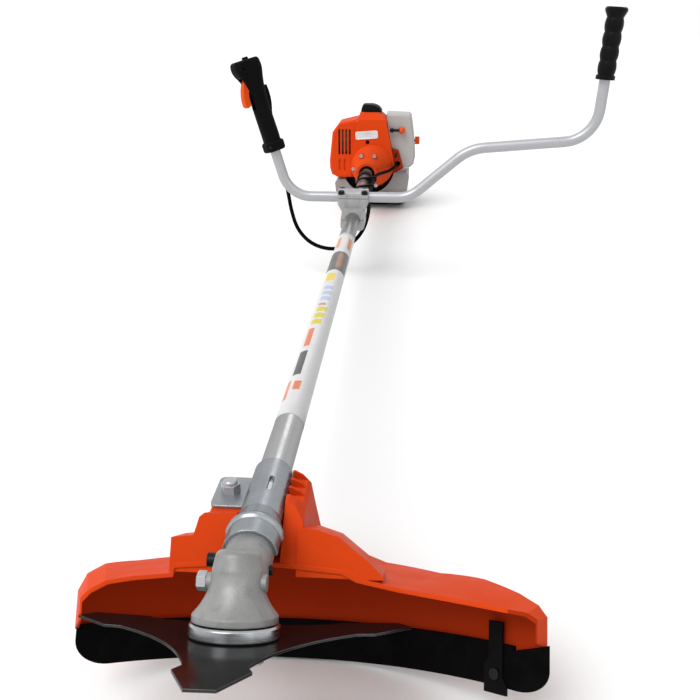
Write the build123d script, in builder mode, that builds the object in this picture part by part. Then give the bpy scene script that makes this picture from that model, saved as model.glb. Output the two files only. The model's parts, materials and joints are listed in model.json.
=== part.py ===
# Petrol brush cutter: engine, straight shaft, bullhorn handlebar, bevel gear head, three-tooth blade and guard.
# Everything is built in the shaft's own frame and set down on the ground at the end.
# Shaft frame: origin where the drive axis meets the blade axis, +Y back along the shaft, +X right, +Z up.
import os
from math import atan2, cos, degrees, pi, radians, sin, sqrt, tan

from build123d import *

os.makedirs("parts", exist_ok=True)

# Fits, all in millimetres of gap
RUN_FIT = 0.05  # shaft in a bearing or bush, on the radius
SEAT_FIT = 0.02  # ring pressed in its seat, on the radius
FREE_GAP = 0.4  # pieces that move past each other
HOLE_FIT = 0.3  # bolt in its hole, on the radius

# Shaft tube and drive shaft
TUBE_R = 13.0
TUBE_WALL = 1.5
TUBE_FRONT = 40.0
NOSE = 1500.0  # front of the engine's clutch housing
TUBE_DEPTH = 38.0  # tube inside the clutch housing
DRIVE_R = 4.0
BUSH_LENGTH = 24.0
BUSH_COUNT = 4

# Gear head and cutter stack: heights are along the blade axis
HEAD_TILT = 30.0  # blade plane against the shaft
BLADE_DROP = 24.0  # gear apex to the blade's top face
ADAPTER_R = 28.4
ADAPTER_HEIGHT = 8.5
ADAPTER_GAP = 1.0
CASE_FOOT_R = 27.0
CASE_WAIST_R = 16.0
CASE_CROWN_R = 13.0
CASE_WALL = 3.6
NECK_R = 16.5
NECK_END = 62.0
BOSS_R = 5.5
BOSS_RISE = 9.0
PLUG_R = 3.0
PLUG_FLATS = 11.0
PLUG_HEAD = 6.0
PINCH_T = 37.0
PINCH_R = 2.5
PINCH_BOSS = 3.0
PINCH_HEAD_R = 4.8
PINCH_HEAD = 7.0
LOCATOR_T = 28.0
LOCATOR_R = 2.0
GEAR_MODULE = 1.1
GEAR_TEETH = 19
PINION_TEETH = 14
GEAR_FACE = 5.5
GEAR_BACK = 3.5
BACKLASH = 0.28
SPINDLE_R = 5.0
SPINDLE_FOOT_R = 6.0
SPINDLE_TOP_R = 4.0
SPIGOT_R = 12.7
LOWER_BEARING_R = 14.0
LOWER_BEARING_HEIGHT = 8.0
UPPER_BEARING_R = 8.0
UPPER_BEARING_HEIGHT = 5.0
NECK_BEARING_R = 11.0
NECK_BEARING_LENGTH = 7.0
BLADE_R = 127.5
BLADE_THICKNESS = 1.6
BLADE_TIP_WIDTH = 16.0
BLADE_BARB_RADIUS = 90.0
BLADE_BARB_WIDTH = 42.0
BLADE_NOTCH_RADIUS = 79.0
BLADE_NOTCH_WIDTH = 35.0
BLADE_WEB_R = 45.0
BLADE_PHASE = 4.0
FLANGE_R = 20.0
FLANGE_HEIGHT = 4.0
CUP_R = 19.0
CUP_HEIGHT = 9.0
CUP_WALL = 1.5
NUT_FLATS = 17.0
NUT_HEIGHT = 8.0
SPINDLE_TAIL = 6.0

# Guard: plan sizes in the blade plane, heights above the blade's top face
GUARD_CENTRE_X = 25.0
GUARD_CENTRE_Y = -45.0
GUARD_R = 223.0
GUARD_WALL = 3.0
GUARD_FRONT = 70.0
GUARD_FOOT = -20.0
GUARD_END_LIFT = 12.0  # how far the foot rises towards the two front ends
GUARD_END_DEPTH = 34.0
GUARD_RIM = (
    # front view at the rim, from left to right
    (-125.5, 8.0),
    (-120.0, 14.0),
    (-108.0, 20.8),
    (-89.0, 24.7),
    (-62.0, 28.0),
    (-61.0, 34.5),
    (-22.0, 38.0),
    (20.0, 38.0),
    (63.0, 35.0),
    (73.5, 29.8),
    (101.7, 24.6),
    (136.5, 19.7),
    (168.0, 15.1),
    (190.0, 12.0),
    (196.5, 8.0),
)
GUARD_BACK = (
    # the same corners in the plane that touches the back of the rounded wall
    (-173.2, 8.0),
    (-164.8, 30.8),
    (-147.4, 34.2),
    (-114.2, 31.0),
    (-82.9, 32.3),
    (-81.5, 36.0),
    (-24.0, 38.0),
    (22.0, 38.0),
    (76.0, 37.0),
    (91.6, 32.2),
    (144.0, 28.4),
    (189.6, 32.9),
    (232.0, 30.5),
    (244.0, 24.0),
    (263.0, 4.0),
)
SKIRT_FOOT = -47.0
SKIRT_WALL = 5.5
SKIRT_LIP = 3.5
SKIRT_CORNER_R = 20.0
HUB_DECK = 37.0
KNIFE_ANGLE = 46.7
KNIFE_WIDTH = 12.0
KNIFE_FOOT_WIDTH = 20.0
KNIFE_THICKNESS = 2.0

# Sheet bracket that holds the guard on the neck and the tube
BRACKET_WALL = 2.5
BRACKET_FRONT = 45.0
BRACKET_REAR = 150.0
COLLAR_LENGTH = 25.0
EAR_TOP = -3.0
EAR_WALL = 3.0
EAR_FRONT = 108.0
EAR_LEFT = -42.0
EAR_RIGHT = 24.0
STUD_R = 4.0
STUD_X = -30.0
STUD_T = 129.0
STUD_FLATS = 13.0
STUD_HEX = 7.0

# Handlebar and its clamp: the bar lies in a plane across the shaft
BAR_T = 1065.0
BAR_R = 9.0
BAR_WALL = 1.6
BAR_RISE = 36.0
BAR_LEFT_CORNER = -114.0
BAR_RIGHT_CORNER = 99.0
BAR_ARM_LEAN = 16.7  # left arm against the vertical
BAR_ARM_LENGTH = 133.0
BAR_STEP_X = 200.0
BAR_STEP_Z = 122.0
BAR_END_X = 411.0
BAR_END_Z = 140.0
BAR_TOP_X = 424.0
BAR_TOP_Z = 345.0
BAR_BENDS = (52.0, 55.0, 85.0, 57.0)
CLAMP_WIDTH = 42.0
CLAMP_LENGTH = 56.0
CLAMP_CAP_WIDTH = 54.0
CLAMP_CAP_LENGTH = 38.0
CLAMP_WALL = 5.5
CLAMP_SPLIT = 0.8
CLAMP_BOLT_R = 3.0
CLAMP_HEAD_R = 5.0
CLAMP_HEAD_HEIGHT = 7.0
GRIP_LENGTH = 112.0
GRIP_R = 14.5
GRIP_LIP_R = 18.0
GRIP_RIBS = 4

# Throttle handle on the left arm: heights run up the arm from the collar's foot
HANDLE_ARM = 83.0  # from the bar's left corner to the foot of the handle
TRIGGER_TURN = 50.0  # trigger side, from straight ahead towards the left
HANDLE_COLLAR = 17.0
HANDLE_COLLAR_X = 36.0
HANDLE_COLLAR_Y = 34.0
HANDLE_HEAD = 134.0
HANDLE_TOP = 158.0
HANDLE_HEAD_SHIFT = 4.0
TRIGGER_PIVOT_X = 10.0
TRIGGER_PIVOT_Z = 124.0
TRIGGER_REACH = 42.0
TRIGGER_WIDTH = 12.0
LOCKOUT_PIVOT_X = -11.0
LOCKOUT_PIVOT_Z = 64.0
LOCKOUT_REACH = 46.0
LOCKOUT_WIDTH = 8.0
PIVOT_R = 2.0
SWITCH_TRAVEL = 6.0

# Harness hanger
HANGER_T = NOSE - 60.0
HANGER_LENGTH = 22.0
HANGER_WALL = 4.0
HANGER_EYE_R = 7.0
HANGER_EYE_RIM = 4.0

# Throttle cable: a sheathed loom from the handle to the carburettor
CABLE_R = 3.5
CABLE_BAY = NOSE - BAR_T
CABLE_ROUTE = (
    (-137.9, BAR_T + 16.0, 115.4),
    (-127.8, BAR_T + 16.5, 81.0),
    (-119.8, BAR_T + 17.0, 43.0),
    (-114.5, BAR_T + 17.2, 6.0),
    (-104.0, BAR_T + 18.0, -29.5),
    (-79.0, BAR_T + 20.0, -57.0),
    (-42.0, BAR_T + 23.0, -68.0),
    (-8.0, BAR_T + 28.0, -60.0),
    (15.0, BAR_T + 37.0, -36.0),
    (24.0, BAR_T + 57.0, -8.0),
    (23.0, BAR_T + 101.0, 9.0),
    (21.0, BAR_T + 0.4 * CABLE_BAY, 14.0),
    (21.5, BAR_T + 0.6 * CABLE_BAY, 12.0),
    (24.0, NOSE - 80.0, 12.0),
    (33.0, NOSE - 20.0, 6.0),
    (58.0, NOSE + 36.0, 4.0),
    (72.0, NOSE + 92.0, 15.0),
)
CLIP_RUNS = (11, 12)  # runs of the route that carry a clip at their middle
CLIP_LENGTH = 9.0
CLIP_WALL = 2.2

# Clutch, crankshaft and fan: distances are behind the nose of the clutch housing
HOUSING_LENGTH = 66.0
NOSE_R = 24.5
DOME_R = 48.0
DOME_Z = 8.0
DAMPER_R = 18.0
DAMPER_LENGTH = 14.0
DRUM_R = 29.0
DRUM_LENGTH = 14.0
DRUM_WALL = 2.5
DRUM_HUB_R = 6.5
DRUM_BEARING_R = 14.0
DRUM_BEARING_LENGTH = 8.0
CRANK_R = 6.0
CRANK_REAR = NOSE + 174.0
CRANK_BEARING_R = 13.0
SHOE_GAP = 1.2
FAN_R = 33.0
FAN_LENGTH = 20.0
FAN_BLADES = 14

# Engine shroud: a scroll round the fan, drawn up to a narrow top
SHROUD_WALL = 2.5
SHROUD_LENGTH = 92.0
SCROLL_X = 9.0
SCROLL_Z = 11.0
SCROLL_R = 51.0
SHROUD_TOP = 127.0
SHROUD_BROW = 112.0  # where the front face turns back to the top
FACE_HOLE = (-2.0, 62.0)  # hole in the front face over the clutch housing
FACE_HOLE_R = 4.5
SHROUD_CORNERS = ((-28.0, 104.0), (-20.0, SHROUD_TOP), (22.0, SHROUD_TOP), (40.0, 113.0))

# Short block, muffler and covers
CASE_T = NOSE + 100.0  # front of the crankcase
CASE_LENGTH = 62.0
CASE_HALF = 33.0
CASE_LOW = -46.0
CYLINDER_FOOT = 36.0
CYLINDER_R = 19.0
CYLINDER_T = NOSE + 131.0
FIN_COUNT = 8
FIN_THICKNESS = 2.0
FIN_PITCH = 8.0
PORT_Z = 65.0
PORT_HALF = 13.0
EXHAUST_X = -42.0
INTAKE_X = 56.0
TOP_COVER_RISE = 16.0
MUFFLER_LEFT = -78.0
COVER_FRONT = NOSE + 74.0
COVER_REAR = NOSE + 156.0
COVER_WALL = 2.5
COVER_OUTLINE = (
    (-86.0, -14.0),
    (-72.0, -21.0),
    (-36.0, -20.0),
    (-36.0, 0.0),
    (-10.0, 0.0),
    (-10.0, 113.0),
    (-27.0, 113.0),
    (-69.0, 103.0),
    (-84.0, 83.0),
    (-91.0, 19.0),
    (-90.5, 2.0),
)
FILTER_FRONT = NOSE + 86.0
FILTER_REAR = NOSE + 156.0
FILTER_WALL = 2.5
FILTER_OUTLINE = (
    (41.0, 3.0),
    (97.0, 2.0),
    (105.5, 10.0),
    (109.0, 28.0),
    (105.0, 75.0),
    (98.5, 117.0),
    (93.5, 122.0),
    (41.0, 124.0),
)
CARB_RIGHT = 84.0
KNOB_X = 107.5
KNOB_T = NOSE + 122.0
KNOB_Z = 60.0
KNOB_R = 9.0
KNOB_LENGTH = 11.0
CHOKE_X = 54.0
CHOKE_Z = 88.0
CHOKE_T = NOSE + 75.0
CHOKE_REACH = 23.0
CHOKE_PIN_R = 2.5
BALL_R = 8.0
WING_FRONT = NOSE + 72.0
WING_SLOT = (64.0, 32.0)
WING_OUTLINE = ((30.0, 52.0), (70.0, 43.0), (82.0, 2.0), (64.0, -8.0), (30.0, -8.0))

# Fuel tank, stand and recoil starter
TANK_FOOT = -88.0
TANK_FRONT = NOSE + 84.0
TANK_REAR = NOSE + 198.0
TANK_WALL = 2.5
TANK_SADDLE_R = 60.0
TANK_OUTLINE = (
    (-72.0, TANK_FOOT),
    (88.0, TANK_FOOT),
    (96.0, -20.0),
    (92.0, -10.0),
    (0.0, -10.0),
    (0.0, -27.0),
    (-74.0, -27.0),
    (-80.0, -36.0),
)
CUSHION_LENGTH = 26.0
NECK_BORE_R = 11.5
FILLER_R = 14.0
FILLER_LENGTH = 8.0
CAP_R = 18.0
CAP_LENGTH = 15.0
CAP_X = 58.0
CAP_Z = -48.0
STAND_FRONT = NOSE + 140.0
STAND_REAR = NOSE + 222.0
STAND_HALF = 76.0
STAND_FOOT = -97.0  # at the stand's front edge
STARTER_R = 58.0
STARTER_LENGTH = 40.0
STARTER_WALL = 2.5
STARTER_LUGS = (30.0, 90.0, 150.0)
LUG_R = 5.5
ROPE_X = -32.0
ROPE_T = NOSE + 184.0
ROPE_R = 2.0
PULL_STEM_R = 7.0
PULL_WIDTH = 16.0
PULL_LENGTH = 46.0

# Working planes and axes of the tilted gear head
UP = Vector(0, sin(radians(HEAD_TILT)), cos(radians(HEAD_TILT)))
HEAD = Plane(origin=(0, 0, 0), x_dir=(1, 0, 0), z_dir=UP)
HEAD_SIDE = Plane(origin=(0, 0, 0), x_dir=HEAD.y_dir, z_dir=(1, 0, 0))
HEAD_FRONT = Plane(origin=(0, 0, 0), x_dir=(1, 0, 0), z_dir=-HEAD.y_dir)
BLADE_AXIS = Axis((0, 0, 0), UP)
SHAFT_AXIS = Axis.Y
SHAFT_SIDE = Plane.XY  # half sections of turned pieces: x is the radius, y runs down the shaft


def across(t):
    """Plane across the shaft, t behind the gear apex: x right, y up."""
    return Plane.XZ.offset(-t)


def tube_ring(outer, inner, start, end, mode=Mode.ADD):
    """Ring round the shaft axis between two stations."""
    with BuildSketch(across(start)) as profile:
        Circle(outer)
        if inner:
            Circle(inner, mode=Mode.SUBTRACT)
    extrude(profile.sketch, amount=start - end, mode=mode)


def head_ring(outer, inner, low, high, mode=Mode.ADD):
    """Ring round the blade axis between two heights."""
    with BuildSketch(HEAD.offset(low)) as profile:
        Circle(outer)
        if inner:
            Circle(inner, mode=Mode.SUBTRACT)
    extrude(profile.sketch, amount=high - low, mode=mode)


def turned(plane, axis, points, mode=Mode.ADD, arc=360.0):
    """Solid of revolution from a closed half section."""
    with BuildSketch(plane) as profile:
        with BuildLine():
            Polyline(*points, close=True)
        make_face()
    revolve(profile.sketch, axis=axis, revolution_arc=arc, mode=mode)


def prism(plane, points, amount, mode=Mode.ADD):
    """Straight-sided outline pulled out of its plane."""
    with BuildSketch(plane) as profile:
        with BuildLine():
            Polyline(*points, close=True)
        make_face()
    extrude(profile.sketch, amount=amount, mode=mode)


def post(plane, places, radius, amount, mode=Mode.ADD):
    """Round posts or holes of one length at places on a plane."""
    with BuildSketch(plane) as profile:
        with Locations(*places):
            Circle(radius)
    extrude(profile.sketch, amount=amount, mode=mode)


def hex_post(plane, place, flats, amount, mode=Mode.ADD):
    """Hexagonal post or socket at a place on a plane, by its width across flats."""
    with BuildSketch(plane) as profile:
        with Locations(place):
            RegularPolygon(radius=flats / sqrt(3), side_count=6)
    extrude(profile.sketch, amount=amount, mode=mode)


# Bevel gear pair: cone angles from the tooth counts and the angle between the two axes
AXES_ANGLE = radians(90.0 - HEAD_TILT)
PINION_CONE = atan2(sin(AXES_ANGLE), GEAR_TEETH / PINION_TEETH + cos(AXES_ANGLE))
GEAR_CONE = AXES_ANGLE - PINION_CONE
CONE_LENGTH = GEAR_MODULE * GEAR_TEETH / 2 / sin(GEAR_CONE)
ADDENDUM = 0.8 * GEAR_MODULE
DEDENDUM = 1.15 * GEAR_MODULE
PINION = Plane(origin=(0, 0, 0), x_dir=(1, 0, 0), z_dir=(0, 1, 0))


def bevel_tooth(frame, cone, angle):
    """One straight bevel tooth, drawn at the back of the cone and shrunk towards its apex."""
    flank = tan(radians(20.0))
    pitch_half = (pi * GEAR_MODULE / 2 - BACKLASH) / 2
    root = DEDENDUM + 0.3
    outline = (
        (-pitch_half - root * flank, -root),
        (pitch_half + root * flank, -root),
        (pitch_half - ADDENDUM * flank, ADDENDUM),
        (-pitch_half + ADDENDUM * flank, ADDENDUM),
    )
    side = frame.x_dir * cos(angle) + frame.y_dir * sin(angle)
    ridge = frame.z_dir * cos(cone) + side * sin(cone)
    tangent = frame.y_dir * cos(angle) - frame.x_dir * sin(angle)
    ends = []
    for distance in (CONE_LENGTH, CONE_LENGTH - GEAR_FACE):
        shrink = distance / CONE_LENGTH
        with BuildSketch(Plane(origin=ridge * distance, x_dir=tangent, z_dir=ridge)) as end:
            with BuildLine():
                Polyline(*[(x * shrink, -y * shrink) for x, y in outline], close=True)
            make_face()
        ends.append(end.sketch)
    loft(ends, ruled=True)


def root_section(cone):
    """Half section corners of a bevel gear's root cone: small end, then large end, as radius and height."""
    corners = []
    for distance in (CONE_LENGTH - GEAR_FACE, CONE_LENGTH):
        depth = DEDENDUM * distance / CONE_LENGTH
        corners.append((distance * sin(cone) - depth * cos(cone), distance * cos(cone) + depth * sin(cone)))
    return corners


with BuildPart() as gear_tooth:
    bevel_tooth(HEAD, GEAR_CONE, radians(90.0 + 180.0 / GEAR_TEETH))

with BuildPart() as pinion_tooth:
    bevel_tooth(PINION, PINION_CONE, radians(-90.0))

GEAR_ROOT = root_section(GEAR_CONE)
GEAR_TOP = GEAR_ROOT[1][1] + GEAR_BACK
GEAR_TIP_R = CONE_LENGTH * sin(GEAR_CONE) + ADDENDUM * cos(GEAR_CONE)
with BuildPart() as driven_gear:
    turned(
        HEAD_SIDE,
        BLADE_AXIS,
        (
            (SPINDLE_R, GEAR_ROOT[0][1]),
            GEAR_ROOT[0],
            GEAR_ROOT[1],
            (GEAR_ROOT[1][0], GEAR_TOP),
            (SPINDLE_R, GEAR_TOP),
        ),
    )
    add([gear_tooth.part.rotate(BLADE_AXIS, 360.0 * k / GEAR_TEETH) for k in range(GEAR_TEETH)])

PINION_ROOT = root_section(PINION_CONE)
PINION_SHANK = PINION_ROOT[1][1] + 2.0
NECK_BEARING_T = PINION_SHANK + 3.0
NECK_BEARING_END = NECK_BEARING_T + 2 * NECK_BEARING_LENGTH + 0.6
SOCKET_END = NECK_BEARING_END + 14.0
SHANK_R = DRIVE_R + 1.0
with BuildPart() as pinion_gear:
    turned(
        SHAFT_SIDE,
        SHAFT_AXIS,
        (
            (0, PINION_ROOT[0][1]),
            PINION_ROOT[0],
            PINION_ROOT[1],
            (PINION_ROOT[1][0], PINION_SHANK),
            (SHANK_R, PINION_SHANK),
            (SHANK_R, NECK_BEARING_END + 1.0),
            (SHANK_R + 1.5, NECK_BEARING_END + 1.0),
            (SHANK_R + 1.5, SOCKET_END),
            (DRIVE_R, SOCKET_END),
            (DRIVE_R, NECK_BEARING_END + 2.0),
            (0, NECK_BEARING_END + 2.0),
        ),
    )
    add([pinion_tooth.part.rotate(SHAFT_AXIS, 360.0 * k / PINION_TEETH) for k in range(PINION_TEETH)])

with BuildPart() as drive_shaft:
    tube_ring(DRIVE_R, 0, NECK_BEARING_END + 2.0, NOSE + TUBE_DEPTH + DRUM_BEARING_LENGTH)

# Gear case: bell round the blade axis, neck round the shaft axis, bosses on both sides
CASE_FOOT = ADAPTER_HEIGHT + ADAPTER_GAP - BLADE_DROP
LOWER_BEARING_FOOT = CASE_FOOT + 1.5
LOWER_BEARING_TOP = LOWER_BEARING_FOOT + LOWER_BEARING_HEIGHT
UPPER_BEARING_FOOT = GEAR_TOP + 1.0
UPPER_BEARING_TOP = UPPER_BEARING_FOOT + UPPER_BEARING_HEIGHT
CASE_TOP = UPPER_BEARING_TOP + CASE_WALL
GEAR_ROOM_R = GEAR_TIP_R + 0.9
WAIST = CASE_TOP - 12.0
BOSS_FACE = CASE_WAIST_R + 3.0
BOSS_POINT = tuple(HEAD.from_local_coords((0, 0, BOSS_RISE)))[1:]
PINCH_FACE = Plane.YZ.offset(-NECK_R - PINCH_BOSS)
with BuildPart() as gear_case:
    with BuildSketch(HEAD_SIDE):
        with BuildLine():
            crown = Line((0, CASE_TOP), (CASE_CROWN_R - 2.5, CASE_TOP))
            shoulder = ThreePointArc(
                crown @ 1, (CASE_CROWN_R - 0.2, CASE_TOP - 1.0), (CASE_CROWN_R + 1.4, CASE_TOP - 4.0)
            )
            wall = Line(shoulder @ 1, (CASE_WAIST_R, WAIST))
            flare = ThreePointArc(
                wall @ 1,
                (CASE_WAIST_R + 0.24 * (CASE_FOOT_R - CASE_WAIST_R), WAIST * 0.45 + (CASE_FOOT + 5.0) * 0.55),
                (CASE_FOOT_R - 0.8, CASE_FOOT + 5.0),
            )
            Polyline(
                flare @ 1, (CASE_FOOT_R, CASE_FOOT + 4.0), (CASE_FOOT_R, CASE_FOOT), (0, CASE_FOOT), (0, CASE_TOP)
            )
        make_face()
    revolve(axis=BLADE_AXIS)
    tube_ring(NECK_R, 0, NECK_R / 2, NECK_END)
    post(Plane.YZ.offset(-BOSS_FACE), [BOSS_POINT], BOSS_R, 2 * BOSS_FACE)
    head_ring(LOWER_BEARING_R + SEAT_FIT, 0, CASE_FOOT, LOWER_BEARING_TOP, mode=Mode.SUBTRACT)
    head_ring(GEAR_ROOM_R, 0, LOWER_BEARING_TOP, UPPER_BEARING_FOOT, mode=Mode.SUBTRACT)
    head_ring(UPPER_BEARING_R + SEAT_FIT, 0, UPPER_BEARING_FOOT, UPPER_BEARING_TOP, mode=Mode.SUBTRACT)
    turned(
        SHAFT_SIDE,
        SHAFT_AXIS,
        (
            (0, 0),
            (NECK_BEARING_R - 1.0, 0),
            (NECK_BEARING_R - 1.0, NECK_BEARING_T),
            (NECK_BEARING_R + SEAT_FIT, NECK_BEARING_T),
            (NECK_BEARING_R + SEAT_FIT, TUBE_FRONT),
            (TUBE_R + SEAT_FIT, TUBE_FRONT),
            (TUBE_R + SEAT_FIT, NECK_END),
            (0, NECK_END),
        ),
        mode=Mode.SUBTRACT,
    )
    post(Plane.YZ.offset(-BOSS_FACE), [BOSS_POINT], PLUG_R + SEAT_FIT, CASE_WALL + 3.0, mode=Mode.SUBTRACT)
    post(PINCH_FACE, [(PINCH_T, 0)], BOSS_R, PINCH_BOSS + NECK_R - TUBE_R)
    post(PINCH_FACE, [(PINCH_T, 0)], PINCH_R + SEAT_FIT, PINCH_BOSS + 2.0, mode=Mode.SUBTRACT)
    post(Plane.YZ.offset(NECK_R), [(LOCATOR_T, 0)], LOCATOR_R + SEAT_FIT, -3.0, mode=Mode.SUBTRACT)

with BuildPart() as head_screws:
    hex_post(Plane.YZ.offset(-BOSS_FACE), BOSS_POINT, PLUG_FLATS, -PLUG_HEAD)
    chamfer(head_screws.faces().sort_by(Axis.X)[0].edges(), 0.8)
    post(Plane.YZ.offset(-BOSS_FACE), [BOSS_POINT], PLUG_R, CASE_WALL + 2.0)
    post(PINCH_FACE, [(PINCH_T, 0)], PINCH_HEAD_R, -PINCH_HEAD)
    hex_post(PINCH_FACE.offset(-PINCH_HEAD), (PINCH_T, 0), PINCH_R * 1.7, PINCH_HEAD / 2, mode=Mode.SUBTRACT)
    post(PINCH_FACE, [(PINCH_T, 0)], PINCH_R, PINCH_BOSS + 1.8)
    post(Plane.YZ.offset(NECK_R), [(LOCATOR_T, 0)], LOCATOR_R * 1.7, LOCATOR_R)
    post(Plane.YZ.offset(NECK_R), [(LOCATOR_T, 0)], LOCATOR_R, -2.8)

with BuildPart() as head_bearings:
    head_ring(LOWER_BEARING_R, SPINDLE_FOOT_R + RUN_FIT, LOWER_BEARING_FOOT, LOWER_BEARING_TOP)
    head_ring(UPPER_BEARING_R, SPINDLE_TOP_R + RUN_FIT, UPPER_BEARING_FOOT, UPPER_BEARING_TOP)
    for start in (NECK_BEARING_T, NECK_BEARING_T + NECK_BEARING_LENGTH + 0.6):
        tube_ring(NECK_BEARING_R, SHANK_R + RUN_FIT, start, start + NECK_BEARING_LENGTH)

# Cutter stack on the output spindle, from the top down
BLADE_TOP = -BLADE_DROP
BLADE_FOOT = BLADE_TOP - BLADE_THICKNESS
FLANGE_FOOT = BLADE_FOOT - FLANGE_HEIGHT
CUP_SEAT = FLANGE_FOOT - CUP_WALL
NUT_FOOT = CUP_SEAT - NUT_HEIGHT
SPINDLE_FOOT = NUT_FOOT - SPINDLE_TAIL
with BuildPart() as output_spindle:
    turned(
        HEAD_SIDE,
        BLADE_AXIS,
        (
            (0, UPPER_BEARING_TOP - 0.2),
            (SPINDLE_TOP_R, UPPER_BEARING_TOP - 0.2),
            (SPINDLE_TOP_R, GEAR_TOP + 0.4),
            (SPINDLE_R, GEAR_TOP + 0.4),
            (SPINDLE_R, LOWER_BEARING_TOP + 1.0),
            (SPINDLE_FOOT_R, LOWER_BEARING_TOP + 1.0),
            (SPINDLE_FOOT_R, BLADE_TOP + 2.0),
            (SPINDLE_R, BLADE_TOP + 2.0),
            (SPINDLE_R, SPINDLE_FOOT + 1.0),
            (SPINDLE_R - 1.0, SPINDLE_FOOT),
            (0, SPINDLE_FOOT),
        ),
    )

with BuildPart() as blade_adapter:
    turned(
        HEAD_SIDE,
        BLADE_AXIS,
        (
            (SPINDLE_FOOT_R, BLADE_TOP + ADAPTER_HEIGHT - 2.0),
            (ADAPTER_R - 5.0, BLADE_TOP + ADAPTER_HEIGHT - 2.0),
            (ADAPTER_R - 4.0, BLADE_TOP + ADAPTER_HEIGHT),
            (ADAPTER_R - 1.0, BLADE_TOP + ADAPTER_HEIGHT),
            (ADAPTER_R, BLADE_TOP + ADAPTER_HEIGHT - 1.2),
            (ADAPTER_R, BLADE_TOP + 1.0),
            (ADAPTER_R - 1.0, BLADE_TOP),
            (SPIGOT_R, BLADE_TOP),
            (SPIGOT_R, BLADE_FOOT + 0.2),
            (SPINDLE_R, BLADE_FOOT + 0.2),
            (SPINDLE_R, BLADE_TOP + 2.0),
            (SPINDLE_FOOT_R, BLADE_TOP + 2.0),
        ),
    )

BLADE_ARMS = 3


def on_arm(radius, width, arm):
    """Point of the blade's outline: distance out along an arm, then sideways."""
    turn = radians(-90.0 + BLADE_PHASE + 360.0 * arm / BLADE_ARMS)
    return (radius * cos(turn) - width * sin(turn), radius * sin(turn) + width * cos(turn))


with BuildPart() as cutting_blade:
    with BuildSketch(HEAD.offset(BLADE_FOOT)):
        with BuildLine():
            for arm in range(BLADE_ARMS):
                edge = Polyline(
                    on_arm(BLADE_NOTCH_RADIUS, -BLADE_NOTCH_WIDTH / 2, arm),
                    on_arm(BLADE_BARB_RADIUS, -BLADE_BARB_WIDTH / 2, arm),
                    on_arm(BLADE_R, -BLADE_TIP_WIDTH / 2, arm),
                    on_arm(BLADE_R, BLADE_TIP_WIDTH / 2, arm),
                    on_arm(BLADE_BARB_RADIUS, BLADE_BARB_WIDTH / 2, arm),
                    on_arm(BLADE_NOTCH_RADIUS, BLADE_NOTCH_WIDTH / 2, arm),
                )
                ThreePointArc(
                    edge @ 1,
                    on_arm(BLADE_WEB_R, 0, arm + 0.5),
                    on_arm(BLADE_NOTCH_RADIUS, -BLADE_NOTCH_WIDTH / 2, arm + 1),
                )
        make_face()
        Circle(SPIGOT_R, mode=Mode.SUBTRACT)
    extrude(amount=BLADE_THICKNESS)

with BuildPart() as lower_flange:
    turned(
        HEAD_SIDE,
        BLADE_AXIS,
        (
            (SPINDLE_R, BLADE_FOOT - 1.0),
            (FLANGE_R - 6.0, BLADE_FOOT - 1.0),
            (FLANGE_R - 6.0, BLADE_FOOT),
            (FLANGE_R, BLADE_FOOT),
            (FLANGE_R, BLADE_FOOT - FLANGE_HEIGHT / 2),
            (FLANGE_R - 3.0, FLANGE_FOOT),
            (SPINDLE_R, FLANGE_FOOT),
        ),
    )

with BuildPart() as glide_cup:
    turned(
        HEAD_SIDE,
        BLADE_AXIS,
        (
            (SPINDLE_R, FLANGE_FOOT),
            (CUP_R * 0.6, FLANGE_FOOT),
            (CUP_R * 0.72, FLANGE_FOOT - 0.25 * CUP_HEIGHT),
            (CUP_R - CUP_WALL, FLANGE_FOOT - CUP_HEIGHT + CUP_WALL),
            (CUP_R, FLANGE_FOOT - CUP_HEIGHT + CUP_WALL),
            (CUP_R, FLANGE_FOOT - CUP_HEIGHT),
            (CUP_R - CUP_WALL * 1.5, FLANGE_FOOT - CUP_HEIGHT),
            (CUP_R * 0.72 - CUP_WALL, FLANGE_FOOT - 0.25 * CUP_HEIGHT - CUP_WALL / 2),
            (CUP_R * 0.6 - CUP_WALL / 2, CUP_SEAT),
            (SPINDLE_R, CUP_SEAT),
        ),
    )

with BuildPart() as blade_nut:
    hex_post(HEAD.offset(CUP_SEAT), (0, 0), NUT_FLATS, -NUT_HEIGHT)
    head_ring(SPINDLE_R, 0, NUT_FOOT, CUP_SEAT, mode=Mode.SUBTRACT)

# Guard: a shell under a stepped deck, closed behind by an arc and open to the front and the ground
SHELL_R = GUARD_R - GUARD_WALL
GUARD_REACH = GUARD_R + GUARD_CENTRE_Y
GUARD_TOP = 42.0


def guard_view(corners, reach, foot, inset):
    """Face with the guard's front view, drawn in by a wall thickness and closed down to a foot height."""
    rise = []
    for x, height in corners:
        draw_in = inset if x < 0 else -inset
        rise.append((x + draw_in, height - inset - BLADE_DROP))
    with BuildSketch(HEAD_FRONT.offset(-reach)) as view:
        with BuildLine():
            Polyline((rise[0][0], foot - BLADE_DROP), *rise, (rise[-1][0], foot - BLADE_DROP), close=True)
        make_face()
    return view.sketch


def guard_block(radius, foot, inset):
    """Guard without its hub: from the rim's view to the back's view, cut to a round plan."""
    rim = guard_view(GUARD_RIM, GUARD_FRONT - inset, foot, inset)
    back = guard_view(GUARD_BACK, GUARD_REACH + inset, foot, inset)
    loft([rim, back], ruled=True)
    with BuildSketch(HEAD.offset(foot - BLADE_DROP)) as plan:
        with Locations((GUARD_CENTRE_X, GUARD_CENTRE_Y)):
            Circle(radius)
    extrude(plan.sketch, amount=GUARD_TOP - foot, mode=Mode.INTERSECT)


def foot_corner(depth, height):
    """Corner of the foot's side view: depth behind the rim and height above the foot."""
    return (GUARD_FRONT + depth, GUARD_FOOT + height - BLADE_DROP)


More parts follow.
